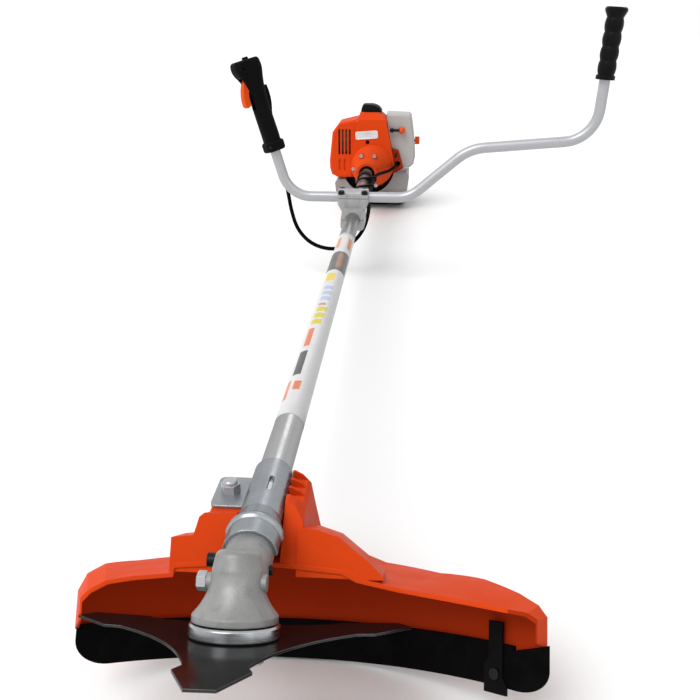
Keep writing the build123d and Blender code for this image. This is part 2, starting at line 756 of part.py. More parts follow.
with BuildPart() as guard_hollow:
    guard_block(SHELL_R, GUARD_FOOT - 4 * GUARD_WALL, GUARD_WALL)

# Hub of the guard: a stepped block under the bracket's ear on the left, and on the right of the tube a drafted tower
# with ribs on top and a shoulder beside it
EAR_FOOT = EAR_TOP - EAR_WALL
HUB_REAR = BRACKET_REAR + 1.0
CHANNEL_HALF = TUBE_R + BRACKET_WALL + 0.5
TOWER_RIGHT = CHANNEL_HALF + 22.5
TOWER_TOP = 6.5
TOWER_FRONT = 104.0
TOWER_REAR = 148.0
TOWER_DRAFT = ((18.0, TOWER_TOP), (24.0, 3.3), (30.2, -3.3), (33.4, -20.0), (TOWER_RIGHT + 0.5, -46.0))
CRADLE_FRONT = EAR_FRONT + 2.0
EAR_BLOCK = (EAR_LEFT + 1.0, -CHANNEL_HALF, EAR_FOOT, TOWER_FRONT, HUB_REAR)  # left, right, top, front and rear
TOWER_BLOCK = (CHANNEL_HALF, TOWER_RIGHT, TOWER_TOP, TOWER_FRONT, TOWER_REAR)
TOWER_HOLLOW = (CHANNEL_HALF, TOWER_RIGHT - 6.0, TOWER_TOP - 14.0, TOWER_FRONT, TOWER_REAR)
HUB_DEPTH = 42.0
HUB_STEPS = ((-63.0, 53.0), (-47.0, 55.0), (-43.5, 68.0), (-40.0, 71.0), (-CHANNEL_HALF, 72.0))
HUB_SHOULDER = ((CHANNEL_HALF + 12.0, 63.0), (40.7, 62.6), (57.6, 57.6), (79.8, 40.8), (90.0, 31.5))
SHELF_FOOT = 29.0


def hub_block(left, right, top, front, rear, inset, mode=Mode.ADD):
    """Block on the guard: sloping face in front, flat top along the shaft, back down to the deck."""
    sink = HUB_DECK - BLADE_DROP - GUARD_WALL / 2 - inset * 4
    front_foot = HEAD.from_local_coords((0, GUARD_FRONT + 1.0, sink))
    rear_foot = HEAD.from_local_coords((0, GUARD_FRONT + 84.0, sink))
    with BuildSketch(Plane.YZ.offset(left + inset)) as side:
        with BuildLine():
            Polyline((front_foot.Y, front_foot.Z), (front, top), (rear, top), (rear_foot.Y, rear_foot.Z), close=True)
        make_face()
        if inset:
            offset(amount=-inset, kind=Kind.INTERSECTION, mode=Mode.REPLACE)
    extrude(side.sketch, amount=right - left - 2 * inset, mode=mode)


def hub_shelf(corners, inset, mode=Mode.ADD):
    """Block on the guard with a stepped or sloping top, straight along the blade plane."""
    foot = SHELF_FOOT - BLADE_DROP - inset * 4
    rise = [(x, height - BLADE_DROP) for x, height in corners]
    with BuildSketch(HEAD_FRONT.offset(-GUARD_FRONT - 1.0 - inset)) as view:
        with BuildLine():
            Polyline((rise[0][0], foot), *rise, (rise[-1][0], foot), close=True)
        make_face()
        if inset:
            offset(amount=-inset, kind=Kind.INTERSECTION, mode=Mode.REPLACE)
    extrude(view.sketch, amount=2 * inset - HUB_DEPTH, mode=mode)


RIB = 2.5
POCKET_DEPTH = 7.0
POCKETS = 3
with BuildPart() as guard_tower:
    hub_block(*TOWER_BLOCK, 0)
    prism(
        across(TOWER_FRONT - 60.0),
        (*TOWER_DRAFT, (3 * TOWER_RIGHT, -46.0), (3 * TOWER_RIGHT, 3 * TOWER_TOP), (18.0, 3 * TOWER_TOP)),
        -120.0,
        mode=Mode.SUBTRACT,
    )

with BuildPart() as deflector_guard:
    guard_block(GUARD_R, GUARD_FOOT, 0)
    add(guard_hollow.part, mode=Mode.SUBTRACT)
    # the foot rises towards the front ends
    prism(
        HEAD_SIDE.offset(-2 * GUARD_R),
        (
            foot_corner(GUARD_END_DEPTH, 0),
            foot_corner(GUARD_END_DEPTH, -10.0),
            foot_corner(-10.0, -10.0),
            foot_corner(-10.0, GUARD_END_LIFT * (1 + 10.0 / GUARD_END_DEPTH)),
        ),
        4 * GUARD_R,
        mode=Mode.SUBTRACT,
    )
    hub_block(*EAR_BLOCK, 0)
    add(guard_tower.part)
    for corners in (HUB_STEPS, HUB_SHOULDER):
        hub_shelf(corners, 0)
    # cradle under the tube, between the two blocks
    cradle_foot = HEAD.from_local_coords((0, GUARD_FRONT + 60.0, HUB_DECK - BLADE_DROP - 1.0))
    prism(
        Plane.YZ.offset(-CHANNEL_HALF),
        (
            (CRADLE_FRONT, cradle_foot.Z),
            (CRADLE_FRONT, -TUBE_R + 3.0),
            (TOWER_REAR, -TUBE_R + 3.0),
            (TOWER_REAR, cradle_foot.Z),
        ),
        2 * CHANNEL_HALF,
    )
    for block in (EAR_BLOCK, TOWER_HOLLOW):
        hub_block(*block, GUARD_WALL, mode=Mode.SUBTRACT)
    for corners in (HUB_STEPS, HUB_SHOULDER):
        hub_shelf(corners, GUARD_WALL, mode=Mode.SUBTRACT)
    # open pockets between the ribs on top of the tower
    pocket_length = (TOWER_REAR - TOWER_FRONT - 6.0 - RIB * (POCKETS + 1)) / POCKETS
    for k in range(POCKETS):
        with BuildSketch(Plane.XY.offset(TOWER_TOP)):
            with Locations((CHANNEL_HALF + 5.0, TOWER_FRONT + 6.0 + RIB + (k + 0.5) * pocket_length + k * RIB)):
                Rectangle(14.0, pocket_length)
        extrude(amount=-POCKET_DEPTH, mode=Mode.SUBTRACT)
    tube_ring(TUBE_R + FREE_GAP, 0, CRADLE_FRONT - 60.0, CRADLE_FRONT + 60.0, mode=Mode.SUBTRACT)
    # slot in the tower for the bracket's right tab, and the stud's hole through the left block
    with BuildSketch(Plane.XY.offset(EAR_FOOT - HOLE_FIT)):
        with Locations((CHANNEL_HALF, (EAR_FRONT + BRACKET_REAR) / 2)):
            Rectangle(2 * (EAR_RIGHT - CHANNEL_HALF + HOLE_FIT), BRACKET_REAR - EAR_FRONT + 2 * HOLE_FIT)
    extrude(amount=EAR_WALL + 2 * HOLE_FIT, mode=Mode.SUBTRACT)
    post(Plane.XY.offset(EAR_FOOT), [(STUD_X, STUD_T)], STUD_R + HOLE_FIT, -GUARD_WALL - 1.0, mode=Mode.SUBTRACT)

# Flexible skirt under the guard's wall, with a lip tucked behind it
SKIRT_R = SHELL_R - SEAT_FIT
SKIRT_INNER_R = SKIRT_R - 2.7


def wall_end(rim_x, back_x):
    """Where one of the guard's two end walls meets its rounded wall, as x in plan."""
    run = Vector(back_x - rim_x, GUARD_REACH - GUARD_FRONT)
    start = Vector(rim_x - GUARD_CENTRE_X, GUARD_FRONT - GUARD_CENTRE_Y)
    slope = start.dot(run)
    share = (sqrt(slope**2 - run.dot(run) * (start.dot(start) - GUARD_R**2)) - slope) / run.dot(run)
    return rim_x + share * run.X


SKIRT_LEFT = wall_end(GUARD_RIM[0][0], GUARD_BACK[0][0]) + GUARD_WALL
SKIRT_RIGHT = wall_end(GUARD_RIM[-1][0], GUARD_BACK[-1][0])
SKIRT_MIDDLE = (SKIRT_LEFT + SKIRT_RIGHT) / 2
SKIRT_WIDTH = SKIRT_RIGHT - SKIRT_LEFT
SKIRT_TOP = GUARD_FOOT + GUARD_END_LIFT
SKIRT_DEPTH = GUARD_REACH - GUARD_FRONT


def guard_ring(outer, inner, low, high):
    """Ring of the guard's wall between two heights over the blade, kept where it meets the current block."""
    with BuildSketch(HEAD.offset(low - BLADE_DROP)) as plan:
        with Locations((GUARD_CENTRE_X, GUARD_CENTRE_Y)):
            Circle(outer)
            Circle(inner, mode=Mode.SUBTRACT)
    extrude(plan.sketch, amount=high - low, mode=Mode.INTERSECT)


with BuildPart() as skirt_lip:
    with BuildSketch(HEAD_FRONT.offset(-GUARD_FRONT - GUARD_END_DEPTH)):
        with Locations((SKIRT_MIDDLE, GUARD_FOOT + SKIRT_LIP / 2 - BLADE_DROP)):
            Rectangle(SKIRT_WIDTH, SKIRT_LIP)
    extrude(amount=GUARD_END_DEPTH - SKIRT_DEPTH)
    guard_ring(SKIRT_R, SKIRT_INNER_R, GUARD_FOOT, GUARD_FOOT + SKIRT_LIP)

# Line knife: a flat black blade on the skirt's inner face, near its right end
KNIFE_TURN = radians(KNIFE_ANGLE)
KNIFE_OUT = HEAD.x_dir * cos(KNIFE_TURN) + HEAD.y_dir * sin(KNIFE_TURN)
KNIFE_ALONG = HEAD.x_dir * sin(KNIFE_TURN) - HEAD.y_dir * cos(KNIFE_TURN)
KNIFE_R = SKIRT_INNER_R - KNIFE_FOOT_WIDTH**2 / (8 * SKIRT_INNER_R) - SEAT_FIT
KNIFE_FACE = Plane(
    origin=HEAD.from_local_coords((GUARD_CENTRE_X, GUARD_CENTRE_Y, -BLADE_DROP)) + KNIFE_OUT * KNIFE_R,
    x_dir=KNIFE_ALONG,
    z_dir=-KNIFE_OUT,
)
KNIFE_FOOT = SKIRT_FOOT - 5.0
KNIFE_SCREW_Y = SKIRT_FOOT + 9.0
KNIFE_SCREW_R = 2.0
with BuildPart() as guard_skirt:
    with BuildSketch(HEAD_FRONT.offset(-GUARD_FRONT)) as skirt_front:
        with Locations((SKIRT_MIDDLE, (SKIRT_TOP + SKIRT_FOOT) / 2 - BLADE_DROP)):
            Rectangle(SKIRT_WIDTH, SKIRT_TOP - SKIRT_FOOT)
        fillet(skirt_front.vertices().group_by(Axis.Y)[0], SKIRT_CORNER_R)
    extrude(amount=-SKIRT_DEPTH)
    guard_ring(SKIRT_INNER_R + SKIRT_WALL, SKIRT_INNER_R, SKIRT_FOOT, SKIRT_TOP)
    # its top follows the guard's foot
    prism(
        HEAD_SIDE.offset(-2 * GUARD_R),
        (
            foot_corner(0, GUARD_END_LIFT),
            foot_corner(GUARD_END_DEPTH, 0),
            foot_corner(SKIRT_DEPTH + 10.0, 0),
            foot_corner(SKIRT_DEPTH + 10.0, 2 * GUARD_END_LIFT),
            foot_corner(0, 2 * GUARD_END_LIFT),
        ),
        4 * GUARD_R,
        mode=Mode.SUBTRACT,
    )
    add(skirt_lip.part)
    post(KNIFE_FACE, [(0, KNIFE_SCREW_Y)], KNIFE_SCREW_R + SEAT_FIT, -SKIRT_WALL, mode=Mode.SUBTRACT)

with BuildPart() as line_knife:
    prism(
        KNIFE_FACE,
        (
            (-KNIFE_WIDTH / 2, -1.0),
            (-KNIFE_WIDTH / 2, GUARD_FOOT - 8.0),
            (-KNIFE_FOOT_WIDTH / 2, GUARD_FOOT - 12.0),
            (-KNIFE_FOOT_WIDTH / 2, KNIFE_FOOT),
            (KNIFE_FOOT_WIDTH / 2, KNIFE_FOOT),
            (KNIFE_FOOT_WIDTH / 2, KNIFE_FOOT + 6.0),
            (KNIFE_WIDTH / 2, KNIFE_FOOT + 12.0),
            (KNIFE_WIDTH / 2, -1.0),
        ),
        KNIFE_THICKNESS,
    )
    post(KNIFE_FACE, [(0, KNIFE_SCREW_Y)], KNIFE_SCREW_R + SEAT_FIT, KNIFE_THICKNESS, mode=Mode.SUBTRACT)

# Sheet bracket: collar over the neck, bead, saddle over the tube, and flat ears on the guard
COLLAR_R = NECK_R + SEAT_FIT
SADDLE_R = TUBE_R + SEAT_FIT
BEAD_T = BRACKET_FRONT + COLLAR_LENGTH - 5.0
SADDLE_T = BRACKET_FRONT + COLLAR_LENGTH + 14.0
OVER_AXIS = Axis((0, 0, 0), (0, -1, 0))
with BuildPart() as guard_bracket:
    turned(
        SHAFT_SIDE,
        OVER_AXIS,
        (
            (COLLAR_R, BRACKET_FRONT),
            (COLLAR_R + BRACKET_WALL, BRACKET_FRONT),
            (COLLAR_R + BRACKET_WALL, BEAD_T - 4.0),
            (COLLAR_R + BRACKET_WALL + 1.6, BEAD_T - 2.0),
            (COLLAR_R + BRACKET_WALL + 1.6, BEAD_T + 1.0),
            (COLLAR_R + BRACKET_WALL, BEAD_T + 4.0),
            (SADDLE_R + BRACKET_WALL, SADDLE_T),
            (SADDLE_R + BRACKET_WALL, BRACKET_REAR),
            (SADDLE_R, BRACKET_REAR),
            (SADDLE_R, SADDLE_T - 3.0),
            (COLLAR_R, BEAD_T + 1.0),
        ),
        arc=180.0,
    )
    for left, right in ((-SADDLE_R - BRACKET_WALL, -SADDLE_R), (SADDLE_R, SADDLE_R + BRACKET_WALL)):
        prism(
            Plane.XY,
            ((left, EAR_FRONT), (right, EAR_FRONT), (right, BRACKET_REAR), (left, BRACKET_REAR)),
            EAR_FOOT,
        )
    with BuildSketch(Plane.XY.offset(EAR_FOOT)) as ears:
        with Locations(((EAR_LEFT - SADDLE_R) / 2, (EAR_FRONT + BRACKET_REAR) / 2)):
            Rectangle(-SADDLE_R - EAR_LEFT, BRACKET_REAR - EAR_FRONT)
        with Locations(((EAR_RIGHT + SADDLE_R) / 2, (EAR_FRONT + BRACKET_REAR) / 2)):
            Rectangle(EAR_RIGHT - SADDLE_R, BRACKET_REAR - EAR_FRONT)
        fillet(ears.vertices().group_by(Axis.X)[0], 5.0)
        with Locations((STUD_X, STUD_T)):
            Circle(STUD_R + HOLE_FIT, mode=Mode.SUBTRACT)
    extrude(amount=EAR_WALL)
    with BuildSketch(Plane.XY.offset(2 * TUBE_R)):
        with Locations((4.0, EAR_FRONT + 6.0)):
            SlotOverall(20.0, 4.0, rotation=90)
    extrude(amount=-TUBE_R - 2.0, mode=Mode.SUBTRACT)

with BuildPart() as guard_fasteners:
    hex_post(Plane.XY.offset(EAR_TOP), (STUD_X, STUD_T), STUD_FLATS, STUD_HEX)
    post(Plane.XY.offset(EAR_TOP + STUD_HEX), [(STUD_X, STUD_T)], STUD_R + 1.6, 3.5)
    fillet(guard_fasteners.faces().sort_by(Axis.Z)[-1].edges(), 2.4)
    post(Plane.XY.offset(EAR_TOP), [(STUD_X, STUD_T)], STUD_R, -EAR_WALL - GUARD_WALL - 5.0)
    post(KNIFE_FACE.offset(KNIFE_THICKNESS), [(0, KNIFE_SCREW_Y)], 2 * KNIFE_SCREW_R, KNIFE_SCREW_R)
    post(KNIFE_FACE.offset(KNIFE_THICKNESS), [(0, KNIFE_SCREW_Y)], KNIFE_SCREW_R, -KNIFE_THICKNESS - SKIRT_WALL + 1.0)

# Shaft tube, and the bushes that carry the drive shaft inside it
TUBE_REAR = NOSE + TUBE_DEPTH
with BuildPart() as shaft_tube:
    tube_ring(TUBE_R, TUBE_R - TUBE_WALL, TUBE_FRONT, TUBE_REAR)

with BuildPart() as shaft_bushes:
    bush_pitch = (TUBE_REAR - TUBE_FRONT) / (BUSH_COUNT + 1)
    for k in range(BUSH_COUNT):
        middle = TUBE_FRONT + (k + 1) * bush_pitch
        tube_ring(
            TUBE_R - TUBE_WALL - SEAT_FIT, DRIVE_R + RUN_FIT, middle - BUSH_LENGTH / 2, middle + BUSH_LENGTH / 2
        )

# Handlebar: one bent tube, from the throttle arm on the left to the long arm on the right
LEAN = radians(BAR_ARM_LEAN)
BAR_POINTS = (
    (BAR_LEFT_CORNER - BAR_ARM_LENGTH * sin(LEAN), BAR_RISE + BAR_ARM_LENGTH * cos(LEAN)),
    (BAR_LEFT_CORNER, BAR_RISE),
    (BAR_RIGHT_CORNER, BAR_RISE),
    (BAR_STEP_X, BAR_STEP_Z),
    (BAR_END_X, BAR_END_Z),
    (BAR_TOP_X, BAR_TOP_Z),
)
with BuildPart() as handlebar:
    with BuildLine(across(BAR_T)) as bar_path:
        FilletPolyline(*BAR_POINTS, radius=BAR_BENDS)
    with BuildSketch(Plane(origin=bar_path.line @ 0, z_dir=bar_path.line % 0)):
        Circle(BAR_R)
        Circle(BAR_R - BAR_WALL, mode=Mode.SUBTRACT)
    sweep()

# Handlebar clamp: base under the tube, body between tube and bar, cap over the bar
CLAMP_HALF = CLAMP_LENGTH / 2
CAP_HALF = CLAMP_CAP_LENGTH / 2
CAP_FLANGE = 6.5
CAP_TOP = BAR_RISE + CLAMP_SPLIT / 2 + CAP_FLANGE
CAP_BOLT_X = CLAMP_CAP_WIDTH / 2 - CLAMP_HEAD_R - 1.5
CAP_BOLT_T = CAP_HALF - CLAMP_HEAD_R + 0.5
CAP_BOLT_PLACES = [(x, BAR_T + t) for x in (-CAP_BOLT_X, CAP_BOLT_X) for t in (-CAP_BOLT_T, CAP_BOLT_T)]
BASE_BOLT_R = 2.0
BASE_BOLT_X = TUBE_R + BASE_BOLT_R + 1.5
BASE_BOLT_T = CLAMP_HALF - 7.0
BASE_BOLT_PLACES = [(x, BAR_T + t) for x in (-BASE_BOLT_X, BASE_BOLT_X) for t in (-BASE_BOLT_T, BASE_BOLT_T)]
CLAMP_FOOT = -TUBE_R - CLAMP_WALL
BASE_BOLT_DEPTH = 10.0
CAP_BOLT_DEPTH = 12.0
BAR_LINE = Plane.YZ.offset(-CLAMP_CAP_WIDTH)
with BuildPart() as clamp_base:
    with BuildSketch(across(BAR_T - CLAMP_HALF)) as base_section:
        with Locations((0, (CLAMP_FOOT - CLAMP_SPLIT / 2) / 2)):
            Rectangle(CLAMP_WIDTH, -CLAMP_SPLIT / 2 - CLAMP_FOOT)
        fillet(base_section.vertices().group_by(Axis.Y)[0], 8.0)
    extrude(amount=-CLAMP_LENGTH)
    tube_ring(TUBE_R + SEAT_FIT, 0, BAR_T - CLAMP_HALF, BAR_T + CLAMP_HALF, mode=Mode.SUBTRACT)
    post(Plane.XY, BASE_BOLT_PLACES, BASE_BOLT_R + SEAT_FIT, CLAMP_FOOT, mode=Mode.SUBTRACT)
    post(Plane.XY.offset(-8.0), BASE_BOLT_PLACES, 2 * BASE_BOLT_R, CLAMP_FOOT, mode=Mode.SUBTRACT)

with BuildPart() as clamp_body:
    prism(
        across(BAR_T - CLAMP_HALF),
        (
            (-CLAMP_WIDTH / 2, CLAMP_SPLIT / 2),
            (CLAMP_WIDTH / 2, CLAMP_SPLIT / 2),
            (CLAMP_WIDTH / 2 - 3.0, TUBE_R + CLAMP_WALL),
            (3.0 - CLAMP_WIDTH / 2, TUBE_R + CLAMP_WALL),
        ),
        -CLAMP_LENGTH,
    )
    prism(
        across(BAR_T - CAP_HALF),
        (
            (-CLAMP_WIDTH / 2 + 2.0, TUBE_R),
            (CLAMP_WIDTH / 2 - 2.0, TUBE_R),
            (CLAMP_CAP_WIDTH / 2, BAR_RISE - BAR_R),
            (CLAMP_CAP_WIDTH / 2, BAR_RISE - CLAMP_SPLIT / 2),
            (-CLAMP_CAP_WIDTH / 2, BAR_RISE - CLAMP_SPLIT / 2),
            (-CLAMP_CAP_WIDTH / 2, BAR_RISE - BAR_R),
        ),
        -CLAMP_CAP_LENGTH,
    )
    fillet(clamp_body.edges().filter_by(Axis.Z), 3.0)
    tube_ring(TUBE_R + SEAT_FIT, 0, BAR_T - CLAMP_HALF, BAR_T + CLAMP_HALF, mode=Mode.SUBTRACT)
    post(BAR_LINE, [(BAR_T, BAR_RISE)], BAR_R + SEAT_FIT, 2 * CLAMP_CAP_WIDTH, mode=Mode.SUBTRACT)
    post(Plane.XY, BASE_BOLT_PLACES, BASE_BOLT_R + SEAT_FIT, BASE_BOLT_DEPTH, mode=Mode.SUBTRACT)
    post(
        Plane.XY.offset(BAR_RISE), CAP_BOLT_PLACES, CLAMP_BOLT_R + SEAT_FIT, -CAP_BOLT_DEPTH, mode=Mode.SUBTRACT
    )

with BuildPart() as clamp_cap:
    with BuildSketch(Plane.YZ.offset(-CLAMP_CAP_WIDTH / 2)):
        with Locations((BAR_T, BAR_RISE)):
            Circle(BAR_R + CLAMP_WALL)
            Rectangle(CLAMP_CAP_LENGTH, 2 * (BAR_R + CLAMP_WALL), align=(Align.CENTER, Align.MAX), mode=Mode.SUBTRACT)
        with Locations((BAR_T, BAR_RISE)):
            Rectangle(CLAMP_CAP_LENGTH, CAP_FLANGE + CLAMP_SPLIT / 2, align=(Align.CENTER, Align.MIN))
    extrude(amount=CLAMP_CAP_WIDTH)
    with BuildSketch(Plane.XY.offset(CAP_TOP)):
        with Locations(*CAP_BOLT_PLACES):
            Rectangle(2 * CLAMP_HEAD_R + 1.5, 2 * CLAMP_HEAD_R + 1.5)
    extrude(amount=BAR_R + CLAMP_WALL, mode=Mode.SUBTRACT)
    fillet(clamp_cap.edges().filter_by(Axis.Z).group_by(Axis.X)[0], 3.0)
    fillet(clamp_cap.edges().filter_by(Axis.Z).group_by(Axis.X)[-1], 3.0)
    with BuildSketch(Plane.XY.offset(BAR_RISE)):
        with Locations((0, BAR_T)):
            Rectangle(2 * CLAMP_CAP_WIDTH, 2 * CLAMP_CAP_LENGTH)
    extrude(amount=CLAMP_SPLIT / 2, mode=Mode.SUBTRACT)
    post(BAR_LINE, [(BAR_T, BAR_RISE)], BAR_R + SEAT_FIT, 2 * CLAMP_CAP_WIDTH, mode=Mode.SUBTRACT)
    post(Plane.XY.offset(BAR_RISE), CAP_BOLT_PLACES, CLAMP_BOLT_R + SEAT_FIT, 2 * CAP_FLANGE, mode=Mode.SUBTRACT)

with BuildPart() as clamp_bolts:
    post(Plane.XY.offset(CAP_TOP), CAP_BOLT_PLACES, CLAMP_HEAD_R, CLAMP_HEAD_HEIGHT)
    for place in CAP_BOLT_PLACES:
        hex_post(
            Plane.XY.offset(CAP_TOP + CLAMP_HEAD_HEIGHT), place, CLAMP_BOLT_R * 1.7, -3.5, mode=Mode.SUBTRACT
        )
    post(Plane.XY.offset(CAP_TOP), CAP_BOLT_PLACES, CLAMP_BOLT_R, BAR_RISE - CAP_TOP - CAP_BOLT_DEPTH + 1.0)
    post(Plane.XY.offset(-8.0), BASE_BOLT_PLACES, 2 * BASE_BOLT_R - 0.2, -4.0)
    post(Plane.XY.offset(-8.0), BASE_BOLT_PLACES, BASE_BOLT_R, 8.0 + BASE_BOLT_DEPTH - 1.0)

# Rubber grip on the long arm, with finger swells and a flared end
GRIP_TOP = Vector(BAR_TOP_X, BAR_T, BAR_TOP_Z)
GRIP_DIR = (GRIP_TOP - Vector(BAR_END_X, BAR_T, BAR_END_Z)).normalized()
GRIP_CAP = 4.0
GRIP = Plane(
    origin=GRIP_TOP - GRIP_DIR * (GRIP_LENGTH - GRIP_CAP), x_dir=(GRIP_DIR.Z, 0, -GRIP_DIR.X), z_dir=(0, -1, 0)
)
GRIP_COLLAR = 8.0
GRIP_FLARE = 16.0
with BuildPart() as rubber_grip:
    with BuildSketch(GRIP):
        with BuildLine():
            Polyline(
                (BAR_R + SEAT_FIT, 0), (GRIP_R + 1.2, 0), (GRIP_R + 1.2, GRIP_COLLAR - 2.0), (GRIP_R - 1.4, GRIP_COLLAR)
            )
            swell = (GRIP_LENGTH - GRIP_COLLAR - GRIP_FLARE) / GRIP_RIBS
            for k in range(GRIP_RIBS):
                low = GRIP_COLLAR + k * swell
                ThreePointArc((GRIP_R - 1.4, low), (GRIP_R + 0.6, low + swell / 2), (GRIP_R - 1.4, low + swell))
            Polyline(
                (GRIP_R - 1.4, GRIP_LENGTH - GRIP_FLARE),
                (GRIP_LIP_R, GRIP_LENGTH - 6.0),
                (GRIP_LIP_R, GRIP_LENGTH - 2.5),
                (GRIP_LIP_R - 2.5, GRIP_LENGTH),
                (0, GRIP_LENGTH),
                (0, GRIP_LENGTH - GRIP_CAP + SEAT_FIT),
                (BAR_R + SEAT_FIT, GRIP_LENGTH - GRIP_CAP + SEAT_FIT),
                (BAR_R + SEAT_FIT, 0),
            )
        make_face()
    revolve(axis=Axis(GRIP.origin, GRIP_DIR))

# Throttle handle: two moulded halves round the end of the left arm
ARM_DIR = Vector(-sin(LEAN), 0, cos(LEAN))
ARM_LEFT = Vector(-cos(LEAN), 0, -sin(LEAN))
TURN = radians(TRIGGER_TURN)
HANDLE = Plane(
    origin=Vector(BAR_LEFT_CORNER, BAR_T, BAR_RISE) + ARM_DIR * HANDLE_ARM,
    x_dir=Vector(0, -cos(TURN), 0) + ARM_LEFT * sin(TURN),
    z_dir=ARM_DIR,
)
HANDLE_SIDE = Plane(origin=HANDLE.origin, x_dir=HANDLE.x_dir, z_dir=-HANDLE.y_dir)
HANDLE_BROW = (HANDLE_HEAD, 46.0, 35.0, 2.8)  # height, depth, width and shift towards the trigger
GRIP_SECTIONS = (
    (HANDLE_COLLAR - 3.0, 30.0, 28.0, 0.0),
    (60.0, 30.0, 27.5, 0.0),
    (100.0, 31.5, 28.0, 0.0),
    (118.0, 36.0, 31.0, 0.6),
    HANDLE_BROW,
)
HEAD_SECTIONS = (HANDLE_BROW, (146.0, 50.0, 36.5, HANDLE_HEAD_SHIFT), (HANDLE_TOP, 46.0, 34.0, HANDLE_HEAD_SHIFT))
HANDLE_SCREWS = ((13.3, 8.5), (21.0, 144.0), (-13.0, 144.0))
SCREW_SEAT = 12.0
SCREW_R = 1.5
SCREW_HEAD_R = 2.8
PIN_LENGTH = 20.0
SWITCH_LENGTH = 9.0
SWITCH_WIDTH = 6.0
SWITCH_DEPTH = 5.0
SWITCH_RISE = 4.0


def slot_between(width, left, right, low, high):
    """Pocket across the middle of the handle, cut between two depths and two heights."""
    with BuildSketch(HANDLE_SIDE.offset(-width / 2)) as profile:
        with Locations(((left + right) / 2, (low + high) / 2)):
            Rectangle(right - left, high - low)
    extrude(profile.sketch, amount=width, mode=Mode.SUBTRACT)


with BuildPart() as handle_body:
    with BuildSketch(HANDLE):
        RectangleRounded(HANDLE_COLLAR_X, HANDLE_COLLAR_Y, 12.0)
    extrude(amount=HANDLE_COLLAR)
    chamfer(handle_body.faces().sort_by(Axis(HANDLE.origin, ARM_DIR))[0].edges(), 2.5)
    chamfer(handle_body.faces().sort_by(Axis(HANDLE.origin, ARM_DIR))[-1].edges(), 2.5)
    for sections in (GRIP_SECTIONS, HEAD_SECTIONS):
        for height, depth, width, shift in sections:
            with BuildSketch(HANDLE.offset(height)):
                with Locations((shift, 0)):
                    RectangleRounded(depth, width, 12.5)
        loft()
    fillet(handle_body.faces().sort_by(Axis(HANDLE.origin, ARM_DIR))[-1].edges(), 6.0)
    post(HANDLE, [(0, 0)], BAR_R + SEAT_FIT, BAR_ARM_LENGTH - HANDLE_ARM + SEAT_FIT, mode=Mode.SUBTRACT)
    slot_between(TRIGGER_WIDTH + 2 * FREE_GAP, -2.0, 40.0, TRIGGER_PIVOT_Z - TRIGGER_REACH - 7.0, HANDLE_HEAD - 4.0)
    slot_between(
        LOCKOUT_WIDTH + 2 * FREE_GAP, -40.0, -6.0, LOCKOUT_PIVOT_Z - 7.0, LOCKOUT_PIVOT_Z + LOCKOUT_REACH + 6.0
    )
    post(
        HANDLE_SIDE.offset(-PIN_LENGTH / 2),
        [(TRIGGER_PIVOT_X, TRIGGER_PIVOT_Z), (LOCKOUT_PIVOT_X, LOCKOUT_PIVOT_Z)],
        PIVOT_R + SEAT_FIT,
        PIN_LENGTH,
        mode=Mode.SUBTRACT,
    )
    post(HANDLE_SIDE.offset(-SCREW_SEAT), HANDLE_SCREWS, SCREW_HEAD_R + SEAT_FIT, -SCREW_SEAT, mode=Mode.SUBTRACT)
    post(HANDLE_SIDE.offset(-SCREW_SEAT), HANDLE_SCREWS, SCREW_R + SEAT_FIT, 2 * SCREW_SEAT, mode=Mode.SUBTRACT)
    with BuildSketch(HANDLE.offset(HANDLE_TOP)):
        with Locations((HANDLE_HEAD_SHIFT, 0)):
            Rectangle(SWITCH_LENGTH + SWITCH_TRAVEL + 2 * FREE_GAP, SWITCH_WIDTH + 2 * FREE_GAP)
    extrude(amount=-SWITCH_DEPTH, mode=Mode.SUBTRACT)

HANDLE_JOINT = Plane(origin=HANDLE.origin, x_dir=HANDLE.x_dir, z_dir=HANDLE.y_dir)
with BuildPart() as handle_inner:
    add(handle_body.part)
    split(bisect_by=HANDLE_JOINT, keep=Keep.TOP)

with BuildPart() as handle_outer:
    add(handle_body.part)
    split(bisect_by=HANDLE_JOINT, keep=Keep.BOTTOM)

with BuildPart() as handle_fixings:
    post(HANDLE_SIDE.offset(-SCREW_SEAT), HANDLE_SCREWS, SCREW_HEAD_R, -2.2)
    post(HANDLE_SIDE.offset(-SCREW_SEAT), HANDLE_SCREWS, SCREW_R, 2 * SCREW_SEAT - 1.0)
    post(
        HANDLE_SIDE.offset(-PIN_LENGTH / 2),
        [(TRIGGER_PIVOT_X, TRIGGER_PIVOT_Z), (LOCKOUT_PIVOT_X, LOCKOUT_PIVOT_Z)],
        PIVOT_R,
        PIN_LENGTH,
    )

